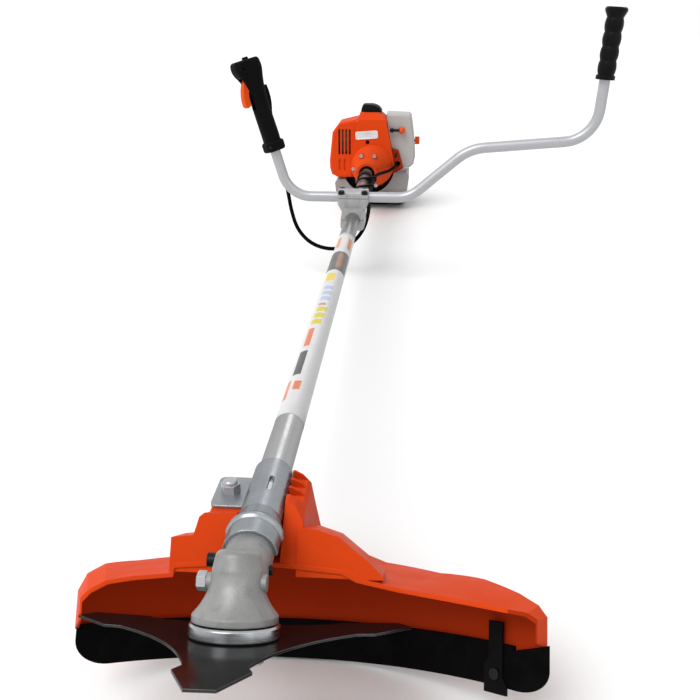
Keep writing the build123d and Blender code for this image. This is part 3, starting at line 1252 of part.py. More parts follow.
TRIGGER_FOOT = TRIGGER_PIVOT_Z - TRIGGER_REACH
with BuildPart() as throttle_trigger:
    with BuildSketch(HANDLE_SIDE.offset(-TRIGGER_WIDTH / 2)):
        with BuildLine():
            trigger_front = ThreePointArc(
                (TRIGGER_PIVOT_X + 5.5, TRIGGER_PIVOT_Z + 4.0),
                (TRIGGER_PIVOT_X + 17.5, TRIGGER_PIVOT_Z - 0.44 * TRIGGER_REACH),
                (TRIGGER_PIVOT_X + 20.0, TRIGGER_FOOT + 3.0),
            )
            trigger_tip = Polyline(
                trigger_front @ 1,
                (TRIGGER_PIVOT_X + 16.0, TRIGGER_FOOT),
                (TRIGGER_PIVOT_X + 9.0, TRIGGER_FOOT + 3.0),
            )
            trigger_back = ThreePointArc(
                trigger_tip @ 1,
                (TRIGGER_PIVOT_X + 7.5, TRIGGER_PIVOT_Z - 0.48 * TRIGGER_REACH),
                (TRIGGER_PIVOT_X - 3.5, TRIGGER_PIVOT_Z - 4.0),
            )
            Line(trigger_back @ 1, trigger_front @ 0)
        make_face()
        with Locations((TRIGGER_PIVOT_X, TRIGGER_PIVOT_Z)):
            Circle(3 * PIVOT_R - 0.5)
            Circle(PIVOT_R + RUN_FIT, mode=Mode.SUBTRACT)
    extrude(amount=TRIGGER_WIDTH)

LOCKOUT_TOP = LOCKOUT_PIVOT_Z + LOCKOUT_REACH
with BuildPart() as lockout_lever:
    with BuildSketch(HANDLE_SIDE.offset(-LOCKOUT_WIDTH / 2)):
        with BuildLine():
            lever_back = ThreePointArc(
                (LOCKOUT_PIVOT_X - 4.0, LOCKOUT_PIVOT_Z - 2.0),
                (LOCKOUT_PIVOT_X - 11.0, LOCKOUT_PIVOT_Z + 23.0),
                (LOCKOUT_PIVOT_X - 10.5, LOCKOUT_TOP),
            )
            lever_tip = Line(lever_back @ 1, (LOCKOUT_PIVOT_X - 6.0, LOCKOUT_TOP))
            lever_front = ThreePointArc(
                lever_tip @ 1,
                (LOCKOUT_PIVOT_X - 5.0, LOCKOUT_PIVOT_Z + 23.0),
                (LOCKOUT_PIVOT_X + 3.5, LOCKOUT_PIVOT_Z + 2.5),
            )
            Line(lever_front @ 1, lever_back @ 0)
        make_face()
        with Locations((LOCKOUT_PIVOT_X, LOCKOUT_PIVOT_Z)):
            Circle(2 * PIVOT_R + 0.3)
            Circle(PIVOT_R + RUN_FIT, mode=Mode.SUBTRACT)
    extrude(amount=LOCKOUT_WIDTH)

with BuildPart() as stop_switch:
    with BuildSketch(HANDLE.offset(HANDLE_TOP - SWITCH_DEPTH)):
        with Locations((HANDLE_HEAD_SHIFT - SWITCH_TRAVEL / 2, 0)):
            Rectangle(SWITCH_LENGTH, SWITCH_WIDTH)
    extrude(amount=SWITCH_DEPTH + SWITCH_RISE)
    chamfer(stop_switch.faces().sort_by(Axis(HANDLE.origin, ARM_DIR))[-1].edges(), 1.0)

# Harness hanger: a band round the tube with an eye below it
EYE_DROP = TUBE_R + HANGER_WALL + HANGER_EYE_R + 2.0
EYE_WALL = 5.0
EYE_PLANE = Plane.YZ.offset(-EYE_WALL / 2)
with BuildPart() as harness_hanger:
    tube_ring(TUBE_R + HANGER_WALL, 0, HANGER_T - HANGER_LENGTH / 2, HANGER_T + HANGER_LENGTH / 2)
    post(EYE_PLANE, [(HANGER_T, -EYE_DROP)], HANGER_EYE_R + HANGER_EYE_RIM, EYE_WALL)
    post(EYE_PLANE, [(HANGER_T, -EYE_DROP)], HANGER_EYE_R, EYE_WALL, mode=Mode.SUBTRACT)
    tube_ring(TUBE_R + SEAT_FIT, 0, HANGER_T - HANGER_LENGTH, HANGER_T + HANGER_LENGTH, mode=Mode.SUBTRACT)

# Throttle cable: straight runs and tangent arcs from the handle's foot to the carburettor's bracket
ROUTE = [Vector(*point) for point in CABLE_ROUTE]
RUNS = [(b - a).length for a, b in zip(ROUTE, ROUTE[1:])]
BENDS = []
for k in range(1, len(ROUTE) - 1):
    half_turn = radians((ROUTE[k] - ROUTE[k - 1]).get_angle(ROUTE[k + 1] - ROUTE[k])) / 2
    BENDS.append(0.45 * min(RUNS[k - 1], RUNS[k]) / tan(half_turn))
with BuildPart() as throttle_cable:
    with BuildLine() as cable_path:
        FilletPolyline(*CABLE_ROUTE, radius=BENDS)
    with BuildSketch(Plane(origin=ROUTE[0], z_dir=ROUTE[1] - ROUTE[0])):
        Circle(CABLE_R)
    sweep()
print("cable bend radii", [round(bend, 1) for bend in BENDS])
CABLE_VOLUME = pi * CABLE_R**2 * sum(edge.length for edge in cable_path.edges())
print("cable volume against section times length", round(throttle_cable.part.volume / CABLE_VOLUME, 4))

with BuildPart() as cable_clips:
    for run in CLIP_RUNS:
        middle = (ROUTE[run] + ROUTE[run + 1]) / 2
        with BuildSketch(across(middle.Y - CLIP_LENGTH / 2)):
            Circle(TUBE_R + CLIP_WALL)
            with Locations((middle.X, middle.Z)):
                Circle(CABLE_R + CLIP_WALL)
            make_hull()
            Circle(TUBE_R + SEAT_FIT, mode=Mode.SUBTRACT)
            with Locations((middle.X, middle.Z)):
                Circle(CABLE_R + FREE_GAP, mode=Mode.SUBTRACT)
        extrude(amount=-CLIP_LENGTH)

# Clutch housing: a nose over the tube that opens out to the fan scroll
HOUSING_REAR = NOSE + HOUSING_LENGTH
BEARING_T = TUBE_REAR + 2.0
CAVITY_T = BEARING_T + DRUM_BEARING_LENGTH + 2.0
CAVITY_R = DRUM_R + 3.0
HOUSING_SECTIONS = ((2.0, NOSE_R, 0.0), (22.0, 30.0, 0.1), (46.0, 42.0, 0.65), (HOUSING_LENGTH, DOME_R, 1.0))
HOUSING_BOSSES = ((-14.0, 36.0, 37.0), (16.0, 36.0, 37.0), (20.0, -31.0, 32.0), (-32.5, 5.0, 28.0))
HOUSING_BOSS_R = 5.5
HOUSING_SCREW_R = 2.3
with BuildPart() as clutch_housing:
    for offset_t, radius, share in HOUSING_SECTIONS:
        with BuildSketch(across(NOSE + offset_t)):
            with Locations((SCROLL_X * share, DOME_Z * share)):
                Circle(radius)
    loft()
    tube_ring(NOSE_R, 0, NOSE, NOSE + 2.0)
    for x, z, length in HOUSING_BOSSES:
        post(across(HOUSING_REAR - length), [(x, z)], HOUSING_BOSS_R, -length)
    tube_ring(CAVITY_R, 0, CAVITY_T, HOUSING_REAR, mode=Mode.SUBTRACT)
    tube_ring(DRUM_BEARING_R + SEAT_FIT, 0, BEARING_T, CAVITY_T, mode=Mode.SUBTRACT)
    tube_ring(TUBE_R - TUBE_WALL - 1.0, 0, TUBE_REAR, BEARING_T, mode=Mode.SUBTRACT)
    tube_ring(TUBE_R + SEAT_FIT, 0, NOSE, TUBE_REAR, mode=Mode.SUBTRACT)
    tube_ring(DAMPER_R + SEAT_FIT, 0, NOSE, NOSE + DAMPER_LENGTH, mode=Mode.SUBTRACT)
    for x, z, length in HOUSING_BOSSES:
        post(across(HOUSING_REAR - length), [(x, z)], HOUSING_SCREW_R + SEAT_FIT, -length, mode=Mode.SUBTRACT)
        post(across(HOUSING_REAR - length), [(x, z)], HOUSING_BOSS_R, 20.0, mode=Mode.SUBTRACT)

with BuildPart() as shaft_damper:
    tube_ring(DAMPER_R, TUBE_R + SEAT_FIT, NOSE - 2.5, NOSE + DAMPER_LENGTH)

# Centrifugal clutch, crankshaft and fan
with BuildPart() as clutch_drum:
    turned(
        SHAFT_SIDE,
        SHAFT_AXIS,
        (
            (DRIVE_R + SEAT_FIT, TUBE_REAR + 1.0),
            (DRUM_HUB_R, TUBE_REAR + 1.0),
            (DRUM_HUB_R, CAVITY_T + 0.5),
            (DRUM_R, CAVITY_T + 0.5),
            (DRUM_R, CAVITY_T + 0.5 + DRUM_LENGTH),
            (DRUM_R - DRUM_WALL, CAVITY_T + 0.5 + DRUM_LENGTH),
            (DRUM_R - DRUM_WALL, CAVITY_T + 0.5 + DRUM_WALL),
            (DRIVE_R + SEAT_FIT, CAVITY_T + 0.5 + DRUM_WALL),
        ),
    )

CLUTCH_T = CAVITY_T + 5.0
SHOE_R = DRUM_R - DRUM_WALL - SHOE_GAP
with BuildPart() as clutch_shoes:
    with BuildSketch(across(CLUTCH_T)):
        Circle(SHOE_R)
        Circle(SHOE_R - 9.0, mode=Mode.SUBTRACT)
        Rectangle(5.0, 3 * SHOE_R, mode=Mode.SUBTRACT)
        Circle(CRANK_R + 5.0)
        Rectangle(2 * SHOE_R - 4.0, 8.0)
        Circle(CRANK_R + SEAT_FIT, mode=Mode.SUBTRACT)
    extrude(amount=-8.0)

with BuildPart() as crankshaft:
    tube_ring(CRANK_R, 0, CLUTCH_T - 0.5, CRANK_REAR)

FAN_T = HOUSING_REAR + SHROUD_WALL + 2.5
with BuildPart() as flywheel_fan:
    tube_ring(FAN_R, 0, FAN_T, FAN_T + 4.0)
    tube_ring(14.0, 0, FAN_T, FAN_T + FAN_LENGTH)
    with BuildSketch(across(FAN_T + 3.0)):
        with PolarLocations(0, FAN_BLADES):
            with Locations((FAN_R * 0.7, 0)):
                Rectangle(FAN_R * 0.56, 2.0, rotation=20)
    extrude(amount=-FAN_LENGTH + 7.0)
    tube_ring(CRANK_R + SEAT_FIT, 0, FAN_T, FAN_T + FAN_LENGTH, mode=Mode.SUBTRACT)

with BuildPart() as engine_bearings:
    tube_ring(DRUM_BEARING_R, DRUM_HUB_R + RUN_FIT, BEARING_T, BEARING_T + DRUM_BEARING_LENGTH)
    for start in (CASE_T, CASE_T + CASE_LENGTH - 8.0):
        tube_ring(CRANK_BEARING_R, CRANK_R + RUN_FIT, start, start + 8.0)

# Engine shroud: scroll, front wall, brow and top, open behind
with BuildSketch() as shroud_outline:
    with Locations((SCROLL_X, SCROLL_Z)):
        Circle(SCROLL_R)
    with BuildLine():
        Polyline(*SHROUD_CORNERS, close=True)
    make_face()
    make_hull()
with BuildSketch() as shroud_inside:
    add(shroud_outline.sketch)
    offset(amount=-SHROUD_WALL, mode=Mode.REPLACE)
with BuildSketch() as shroud_clear:
    add(shroud_outline.sketch)
    offset(amount=FREE_GAP, mode=Mode.REPLACE)
SHROUD_REAR = HOUSING_REAR + SHROUD_LENGTH
BROW_DEPTH = 26.0


def brow_cut(inset):
    """Slope that takes the front face back to the top, set in by a wall."""
    prism(
        Plane.YZ.offset(-2 * SCROLL_R),
        (
            (HOUSING_REAR - 10.0, SHROUD_BROW - 5.8 - inset),
            (HOUSING_REAR + BROW_DEPTH + 10.0, SHROUD_TOP + 5.8 - inset),
            (HOUSING_REAR + BROW_DEPTH + 10.0, SHROUD_TOP + 40.0),
            (HOUSING_REAR - 10.0, SHROUD_TOP + 40.0),
        ),
        4 * SCROLL_R,
        mode=Mode.SUBTRACT,
    )


def across_prism(sketch, start, end, mode=Mode.ADD):
    """Outline drawn as x right, y up, carried along the shaft between two stations."""
    extrude(across(start) * sketch, amount=start - end, mode=mode)


with BuildPart() as shroud_hollow:
    across_prism(shroud_inside.sketch, HOUSING_REAR + SHROUD_WALL, SHROUD_REAR)
    brow_cut(SHROUD_WALL + 0.7)

with BuildPart() as engine_shroud:
    across_prism(shroud_outline.sketch, HOUSING_REAR, SHROUD_REAR)
    brow_cut(0.0)
    add(shroud_hollow.part, mode=Mode.SUBTRACT)
    tube_ring(CAVITY_R, 0, HOUSING_REAR, HOUSING_REAR + SHROUD_WALL, mode=Mode.SUBTRACT)
    for x, z, length in HOUSING_BOSSES:
        post(across(HOUSING_REAR), [(x, z)], HOUSING_SCREW_R + SEAT_FIT, -SHROUD_WALL, mode=Mode.SUBTRACT)
    post(across(HOUSING_REAR), [FACE_HOLE], FACE_HOLE_R, -SHROUD_WALL, mode=Mode.SUBTRACT)
    post(Plane.XY.offset(SHROUD_TOP - 10.0), [(0, CYLINDER_T)], 15.0, 20.0, mode=Mode.SUBTRACT)
    prism(
        Plane.YZ.offset(-2 * SCROLL_R),
        (
            (CYLINDER_T - 19.0, PORT_Z - 19.0),
            (CYLINDER_T + 19.0, PORT_Z - 19.0),
            (CYLINDER_T + 19.0, PORT_Z + 19.0),
            (CYLINDER_T - 19.0, PORT_Z + 19.0),
        ),
        4 * SCROLL_R,
        mode=Mode.SUBTRACT,
    )
    prism(
        Plane.YZ.offset(-2 * SCROLL_R),
        ((CASE_T - 2.0, -2 * SCROLL_R), (SHROUD_REAR, -2 * SCROLL_R), (SHROUD_REAR, 10.0), (CASE_T - 2.0, 10.0)),
        4 * SCROLL_R,
        mode=Mode.SUBTRACT,
    )

# Short block: crankcase, finned cylinder, two ports and the starter's flange in one casting
CASE_REAR = CASE_T + CASE_LENGTH
CYLINDER_TOP = CYLINDER_FOOT + FIN_COUNT * FIN_PITCH + 4.0
LUG_SPREAD = STARTER_R + 4.3
LUG_PLACES = [(LUG_SPREAD * cos(radians(turn)), LUG_SPREAD * sin(radians(turn))) for turn in STARTER_LUGS]
LUG_LENGTH = 8.0
LUG_SCREW_R = 2.0
PLUG_SEAT_R = 4.0
with BuildPart() as engine_block:
    with BuildSketch(across(CASE_T)):
        with Locations((0, (CASE_LOW + CYLINDER_FOOT) / 2)):
            RectangleRounded(2 * CASE_HALF, CYLINDER_FOOT - CASE_LOW, 14.0)
    extrude(amount=-CASE_LENGTH)
    post(Plane.XY.offset(CYLINDER_FOOT - 8.0), [(0, CYLINDER_T)], CYLINDER_R, CYLINDER_TOP - CYLINDER_FOOT + 8.0)
    for k in range(FIN_COUNT):
        with BuildSketch(Plane.XY.offset(CYLINDER_FOOT + 6.0 + k * FIN_PITCH)):
            with Locations((0, CYLINDER_T)):
                RectangleRounded(66.0 - 4.0 * k, 50.0 - 1.5 * k, 8.0)
        extrude(amount=FIN_THICKNESS)
    with BuildSketch(Plane.YZ.offset(EXHAUST_X)):
        with Locations((CYLINDER_T, PORT_Z)):
            Rectangle(2 * PORT_HALF, 2 * PORT_HALF)
    extrude(amount=INTAKE_X - EXHAUST_X)
    tube_ring(STARTER_R, 0, CASE_REAR - 4.0, CASE_REAR)
    post(across(CASE_REAR - 4.0), LUG_PLACES, LUG_R, -4.0)
    post(across(CASE_REAR - 4.0), LUG_PLACES, LUG_SCREW_R + SEAT_FIT, -4.0, mode=Mode.SUBTRACT)
    tube_ring(CRANK_R + 2.0, 0, CASE_T, CASE_REAR, mode=Mode.SUBTRACT)
    for start in (CASE_T, CASE_REAR - 8.0):
        tube_ring(CRANK_BEARING_R + SEAT_FIT, 0, start, start + 8.0, mode=Mode.SUBTRACT)
    post(Plane.XY.offset(CYLINDER_TOP), [(0, CYLINDER_T)], PLUG_SEAT_R + SEAT_FIT, -10.0, mode=Mode.SUBTRACT)

with BuildPart() as spark_plug:
    post(Plane.XY.offset(CYLINDER_TOP), [(0, CYLINDER_T)], PLUG_SEAT_R, -9.0)
    hex_post(Plane.XY.offset(CYLINDER_TOP), (0, CYLINDER_T), 16.0, 8.0)
    post(Plane.XY.offset(CYLINDER_TOP + 8.0), [(0, CYLINDER_T)], 5.0, 12.0)
    post(Plane.XY.offset(CYLINDER_TOP + 20.0), [(0, CYLINDER_T)], 2.5, 5.0)

# Black cap over the spark plug
TOP_SECTIONS = ((0.0, 5.0, 48.0, 62.0, 11.0), (0.62, 2.5, 40.0, 54.0, 12.0), (1.0, -2.0, 22.0, 36.0, 9.0))
TOP_MIDDLE = NOSE + 122.0
with BuildPart() as top_cover:
    for share, middle, width, length, corner in TOP_SECTIONS:
        with BuildSketch(Plane.XY.offset(SHROUD_TOP + share * TOP_COVER_RISE)):
            with Locations((middle, TOP_MIDDLE)):
                RectangleRounded(width, length, corner)
    loft()
    for rise, width, length in ((0.0, 40.0, 56.0), (8.0, 32.0, 47.0)):
        with BuildSketch(Plane.XY.offset(SHROUD_TOP + rise)):
            with Locations((3.0, TOP_MIDDLE)):
                RectangleRounded(width, length, 9.0)
    loft(mode=Mode.SUBTRACT)

# Muffler and its slotted cover
with BuildPart() as muffler:
    with BuildSketch(across(COVER_FRONT + 22.0)):
        with Locations(((MUFFLER_LEFT + EXHAUST_X) / 2, 52.0)):
            RectangleRounded(EXHAUST_X - MUFFLER_LEFT, 72.0, 8.0)
    extrude(amount=-56.0)
    chamfer(muffler.faces().sort_by(Axis.Y)[0].edges(), 3.0)
    with BuildSketch(across(COVER_FRONT + 22.0 + 2.0)):
        with Locations(((MUFFLER_LEFT + EXHAUST_X) / 2, 52.0)):
            RectangleRounded(EXHAUST_X - MUFFLER_LEFT - 7.0, 65.0, 5.0)
    extrude(amount=-52.0, mode=Mode.SUBTRACT)
    post(across(COVER_FRONT + 14.0), [(-62.0, 34.0)], 7.0, -10.0)
    post(across(COVER_FRONT + 14.0), [(-62.0, 34.0)], 5.0, -8.0, mode=Mode.SUBTRACT)

WINDOW = ((-72.0, -43.0), (32.0, 90.0))
with BuildSketch() as cover_outline:
    with BuildLine():
        Polyline(*COVER_OUTLINE, close=True)
    make_face()
with BuildSketch() as cover_inside:
    add(cover_outline.sketch)
    offset(amount=-COVER_WALL, mode=Mode.REPLACE)
with BuildPart() as muffler_cover:
    across_prism(cover_outline.sketch, COVER_FRONT, COVER_REAR)
    chamfer(muffler_cover.faces().sort_by(Axis.Y)[0].edges().filter_by(lambda edge: edge.center().X < -25.0), 4.0)
    across_prism(cover_inside.sketch, COVER_FRONT + COVER_WALL + 1.5, COVER_REAR, mode=Mode.SUBTRACT)
    across_prism(shroud_clear.sketch, HOUSING_REAR, SHROUD_REAR, mode=Mode.SUBTRACT)
    with BuildSketch(across(COVER_FRONT)):
        for k in range(4):
            with Locations((WINDOW[0][0] + 4.0 + k * 8.0, (WINDOW[1][0] + WINDOW[1][1]) / 2)):
                SlotOverall(WINDOW[1][1] - WINDOW[1][0], 4.6, rotation=90)
    extrude(amount=-10.0, mode=Mode.SUBTRACT)
    with BuildSketch(across(COVER_FRONT)):
        with Locations((-67.0, 9.0), (-55.0, 9.0)):
            SlotOverall(26.0, 4.6, rotation=90)
    extrude(amount=-COVER_WALL, mode=Mode.SUBTRACT)
    with BuildSketch(Plane.YZ.offset(-95.0)):
        for k in range(4):
            with Locations((COVER_FRONT + 20.0 + k * 14.0, 46.0)):
                SlotOverall(52.0, 5.0, rotation=90)
    extrude(amount=14.0, mode=Mode.SUBTRACT)

# Carburettor, with the stud for the filter knob and a bracket for the cable
CABLE_END = ROUTE[-1]
CABLE_HEADING = (ROUTE[-1] - ROUTE[-2]).normalized()
BRACKET_T = CABLE_END.Y + 1.3
with BuildPart() as carburettor:
    with BuildSketch(Plane.YZ.offset(INTAKE_X)):
        with Locations((CYLINDER_T - 3.0, 70.0)):
            RectangleRounded(42.0, 44.0, 4.0)
    extrude(amount=CARB_RIGHT - INTAKE_X)
    post(Plane.XY.offset(92.0), [(70.0, CYLINDER_T - 3.0)], 9.0, 6.0)
    prism(
        Plane.XY.offset(CABLE_END.Z - 7.0),
        (
            (CABLE_END.X - 7.0, BRACKET_T),
            (CABLE_END.X + 7.0, BRACKET_T),
            (CABLE_END.X + 7.0, CYLINDER_T - 16.0),
            (CABLE_END.X - 7.0, CYLINDER_T - 16.0),
        ),
        52.0 - CABLE_END.Z + 7.0,
    )
    post(Plane.YZ.offset(CARB_RIGHT), [(KNOB_T, KNOB_Z)], 3.0, KNOB_X + 6.0 - CARB_RIGHT)

with BuildSketch() as filter_outline:
    with BuildLine():
        Polyline(*FILTER_OUTLINE, close=True)
    make_face()
with BuildSketch() as filter_inside:
    add(filter_outline.sketch)
    offset(amount=-FILTER_WALL, mode=Mode.REPLACE)


def cable_place(t):
    """Where the cable's last run crosses a station, as x and z."""
    point = CABLE_END + CABLE_HEADING * ((t - CABLE_END.Y) / CABLE_HEADING.Y)
    return (point.X, point.Z)


with BuildPart() as filter_cover:
    across_prism(filter_outline.sketch, FILTER_FRONT, FILTER_REAR)
    chamfer(filter_cover.faces().sort_by(Axis.Y)[0].edges().filter_by(lambda edge: edge.center().X > 40.0), 4.0)
    across_prism(filter_inside.sketch, FILTER_FRONT + FILTER_WALL + 1.0, FILTER_REAR - FILTER_WALL, mode=Mode.SUBTRACT)
    across_prism(shroud_clear.sketch, HOUSING_REAR, SHROUD_REAR, mode=Mode.SUBTRACT)
    post(across(FILTER_FRONT), [(CHOKE_X, CHOKE_Z)], CHOKE_PIN_R + RUN_FIT, -5.0, mode=Mode.SUBTRACT)
    post(across(FILTER_FRONT), [cable_place(FILTER_FRONT + 1.5)], CABLE_R + 1.0, -5.0, mode=Mode.SUBTRACT)
    post(Plane.YZ.offset(KNOB_X - 8.0), [(KNOB_T, KNOB_Z)], 3.0 + HOLE_FIT, 10.0, mode=Mode.SUBTRACT)

with BuildPart() as filter_knob:
    with BuildSketch(Plane.YZ.offset(KNOB_X)):
        with Locations((KNOB_T, KNOB_Z)):
            Circle(KNOB_R)
            with PolarLocations(KNOB_R + 0.8, 10):
                Circle(1.8, mode=Mode.SUBTRACT)
    extrude(amount=KNOB_LENGTH)
    chamfer(filter_knob.faces().sort_by(Axis.X)[-1].edges(), 0.8)
    post(Plane.YZ.offset(KNOB_X), [(KNOB_T, KNOB_Z)], 3.0 + RUN_FIT, 6.5, mode=Mode.SUBTRACT)

with BuildPart() as choke_lever:
    with BuildSketch(across(CHOKE_T)):
        with Locations((CHOKE_X, CHOKE_Z)):
            Circle(5.0)
        with Locations((CHOKE_X + CHOKE_REACH / 2, CHOKE_Z)):
            Rectangle(CHOKE_REACH, 6.0)
    extrude(amount=-4.0)
    post(across(CHOKE_T), [(CHOKE_X, CHOKE_Z)], CHOKE_PIN_R, -17.0)
    with Locations((CHOKE_X + CHOKE_REACH, CHOKE_T + 2.0, CHOKE_Z)):
        Sphere(BALL_R)

# Side wing of the fan scroll, with the hole that leads the cable through
with BuildSketch() as wing_outline:
    with BuildLine():
        Polyline(*WING_OUTLINE, close=True)
    make_face()
with BuildPart() as air_guide:
    across_prism(wing_outline.sketch, WING_FRONT, FILTER_FRONT - FREE_GAP)
    across_prism(shroud_clear.sketch, HOUSING_REAR, SHROUD_REAR, mode=Mode.SUBTRACT)
    post(
        across(WING_FRONT),
        [cable_place((WING_FRONT + FILTER_FRONT) / 2)],
        CABLE_R + 2.6,
        WING_FRONT - FILTER_FRONT,
        mode=Mode.SUBTRACT,
    )
    with BuildSketch(across(WING_FRONT)):
        with Locations(WING_SLOT):
            SlotOverall(12.0, 6.0, rotation=75)
    extrude(amount=WING_FRONT - FILTER_FRONT, mode=Mode.SUBTRACT)

# Fuel tank: blow-moulded, with a saddle under the crankcase and a filler behind
CHIN_RISE = 12.0
CHIN_DEPTH = 26.0


def tank_block(inset):
    """Tank body set in by a wall thickness."""
    with BuildSketch() as outline:
        with BuildLine():
            Polyline(*TANK_OUTLINE, close=True)
        make_face()
        fillet(outline.vertices().filter_by(lambda corner: abs(corner.X) > 1.0), 5.0)
        offset(amount=-inset, mode=Mode.REPLACE)
        Circle(TANK_SADDLE_R + inset, mode=Mode.SUBTRACT)
    across_prism(outline.sketch, TANK_FRONT + inset, TANK_REAR - inset)
    prism(
        Plane.YZ.offset(-2 * STAND_HALF),
        (
            (TANK_FRONT - 10.0, TANK_FOOT - 10.0),
            (TANK_FRONT + CHIN_DEPTH + inset, TANK_FOOT - 10.0),
            (TANK_FRONT + CHIN_DEPTH + inset, TANK_FOOT),
            (TANK_FRONT + inset, TANK_FOOT + CHIN_RISE),
            (TANK_FRONT - 10.0, TANK_FOOT + CHIN_RISE),
        ),
        4 * STAND_HALF,
        mode=Mode.SUBTRACT,
    )


with BuildPart() as tank_hollow:
    tank_block(TANK_WALL)

with BuildPart() as fuel_tank:
    tank_block(0.01)
    add(tank_hollow.part, mode=Mode.SUBTRACT)
    post(across(TANK_REAR - TANK_WALL / 2), [(CAP_X, CAP_Z)], FILLER_R, -FILLER_LENGTH - TANK_WALL / 2)
    post(across(TANK_REAR - 2 * TANK_WALL), [(CAP_X, CAP_Z)], NECK_BORE_R, -FILLER_LENGTH * 2, mode=Mode.SUBTRACT)

with BuildPart() as fuel_cap:
    with BuildSketch(across(TANK_REAR + FREE_GAP)):
        with Locations((CAP_X, CAP_Z)):
            Circle(CAP_R)
            with PolarLocations(CAP_R + 1.5, 14):
                Circle(2.6, mode=Mode.SUBTRACT)
    extrude(amount=-CAP_LENGTH)
    post(across(TANK_REAR), [(CAP_X, CAP_Z)], FILLER_R + RUN_FIT, -FILLER_LENGTH - FREE_GAP, mode=Mode.SUBTRACT)

# Rubber cushion between the tank's saddle and the engine
with BuildPart() as tank_cushion:
    tube_ring(TANK_SADDLE_R - SEAT_FIT, 0, TANK_FRONT + 4.0, TANK_FRONT + 4.0 + CUSHION_LENGTH)
    with BuildSketch(across(TANK_FRONT)):
        with Locations((0, -13.0)):
            Rectangle(4 * TANK_SADDLE_R, 4 * TANK_SADDLE_R, align=(Align.CENTER, Align.MIN))
        with Locations((0, -28.0)):
            Rectangle(2 * TANK_SADDLE_R, 2 * TANK_SADDLE_R, align=(Align.MAX, Align.MIN))
        with Locations((0, CASE_LOW / 2)):
            Rectangle(2 * CASE_HALF + 0.2, -CASE_LOW + 0.2)
    extrude(amount=TANK_FRONT - TANK_REAR, mode=Mode.SUBTRACT)
    across_prism(shroud_clear.sketch, TANK_FRONT, TANK_REAR, mode=Mode.SUBTRACT)

# Ground line: through the lowest edge of the skirt and the front edge of the stand
LOW_REACH = GUARD_CENTRE_Y + SKIRT_INNER_R + SKIRT_WALL
LOW_POINT = HEAD.from_local_coords((0, LOW_REACH, SKIRT_FOOT - BLADE_DROP))
REST_TILT = atan2(STAND_FOOT - LOW_POINT.Z, STAND_FRONT - LOW_POINT.Y)


def ground(t):
    """Height of the ground line at a station."""
    return STAND_FOOT + (t - STAND_FRONT) * tan(REST_TILT)


STAND_TOP = TANK_FOOT - SEAT_FIT
with BuildPart() as tank_stand:
    prism(
        Plane.YZ.offset(-STAND_HALF + 8.0),
        (
            (STAND_FRONT, ground(STAND_FRONT)),
            (STAND_REAR, ground(STAND_REAR)),
            (STAND_REAR, STAND_TOP),
            (STAND_FRONT, STAND_TOP),
        ),
        2 * STAND_HALF,
    )
    fillet(tank_stand.edges().filter_by(Axis.Z), 14.0)
    for left, right, top in ((-60.0, -44.0, -45.0), (18.0, 34.0, -62.0)):
        prism(
            Plane.YZ.offset(left),
            (
                (TANK_REAR + 0.4, STAND_TOP - 3.0),
                (STAND_REAR - 4.0, STAND_TOP - 3.0),
                (TANK_REAR + 7.0, top),
                (TANK_REAR + 0.4, top),
            ),
            right - left,
        )

# Recoil starter: vented housing, pull handle and rope
STARTER_FRONT = CASE_REAR
STARTER_REAR = STARTER_FRONT + STARTER_LENGTH
EYELET_FOOT = 38.0
EYELET_TOP = 54.0
with BuildPart() as starter_housing:
    turned(
        SHAFT_SIDE,
        SHAFT_AXIS,
        (
            (0, STARTER_REAR),
            (STARTER_R - 14.0, STARTER_REAR),
            (STARTER_R - 5.0, STARTER_REAR - 4.5),
            (STARTER_R, STARTER_REAR - 14.0),
            (STARTER_R, STARTER_FRONT),
            (STARTER_R - STARTER_WALL, STARTER_FRONT),
            (STARTER_R - STARTER_WALL, STARTER_REAR - 15.0),
            (STARTER_R - 6.7, STARTER_REAR - 6.8),
            (STARTER_R - 15.0, STARTER_REAR - STARTER_WALL),
            (0, STARTER_REAR - STARTER_WALL),
        ),
    )
    post(Plane.XY.offset(EYELET_FOOT), [(ROPE_X, ROPE_T)], 3 * ROPE_R, EYELET_TOP - EYELET_FOOT)
    post(Plane.XY.offset(EYELET_FOOT), [(ROPE_X, ROPE_T)], ROPE_R + FREE_GAP, EYELET_TOP, mode=Mode.SUBTRACT)
    post(across(STARTER_FRONT), LUG_PLACES, LUG_R, -LUG_LENGTH)
    tube_ring(STARTER_R - STARTER_WALL, 0, STARTER_FRONT, STARTER_FRONT + LUG_LENGTH, mode=Mode.SUBTRACT)
    post(across(STARTER_FRONT), LUG_PLACES, LUG_SCREW_R + SEAT_FIT, -LUG_LENGTH, mode=Mode.SUBTRACT)
    with BuildSketch(across(STARTER_REAR)):
        with PolarLocations(0, 12):
            with Locations((STARTER_R * 0.55, 0)):
                SlotOverall(20.0, 5.0)
    extrude(amount=STARTER_WALL + 1.0, mode=Mode.SUBTRACT)

with BuildPart() as starter_grip:
    post(Plane.XY.offset(EYELET_TOP + FREE_GAP), [(ROPE_X, ROPE_T)], PULL_STEM_R, 12.0)
    with BuildSketch(Plane.XY.offset(EYELET_TOP + 9.0)):
        with Locations((ROPE_X, ROPE_T)):
            RectangleRounded(PULL_WIDTH, PULL_LENGTH, 7.5)
    extrude(amount=14.0)
    fillet(starter_grip.faces().sort_by(Axis.Z)[-1].edges(), 5.0)
    post(Plane.XY.offset(EYELET_TOP), [(ROPE_X, ROPE_T)], ROPE_R + SEAT_FIT, 16.0, mode=Mode.SUBTRACT)

with BuildPart() as starter_rope:
    post(Plane.XY.offset(EYELET_FOOT + 2.0), [(ROPE_X, ROPE_T)], ROPE_R, EYELET_TOP + 15.5 - EYELET_FOOT - 2.0)

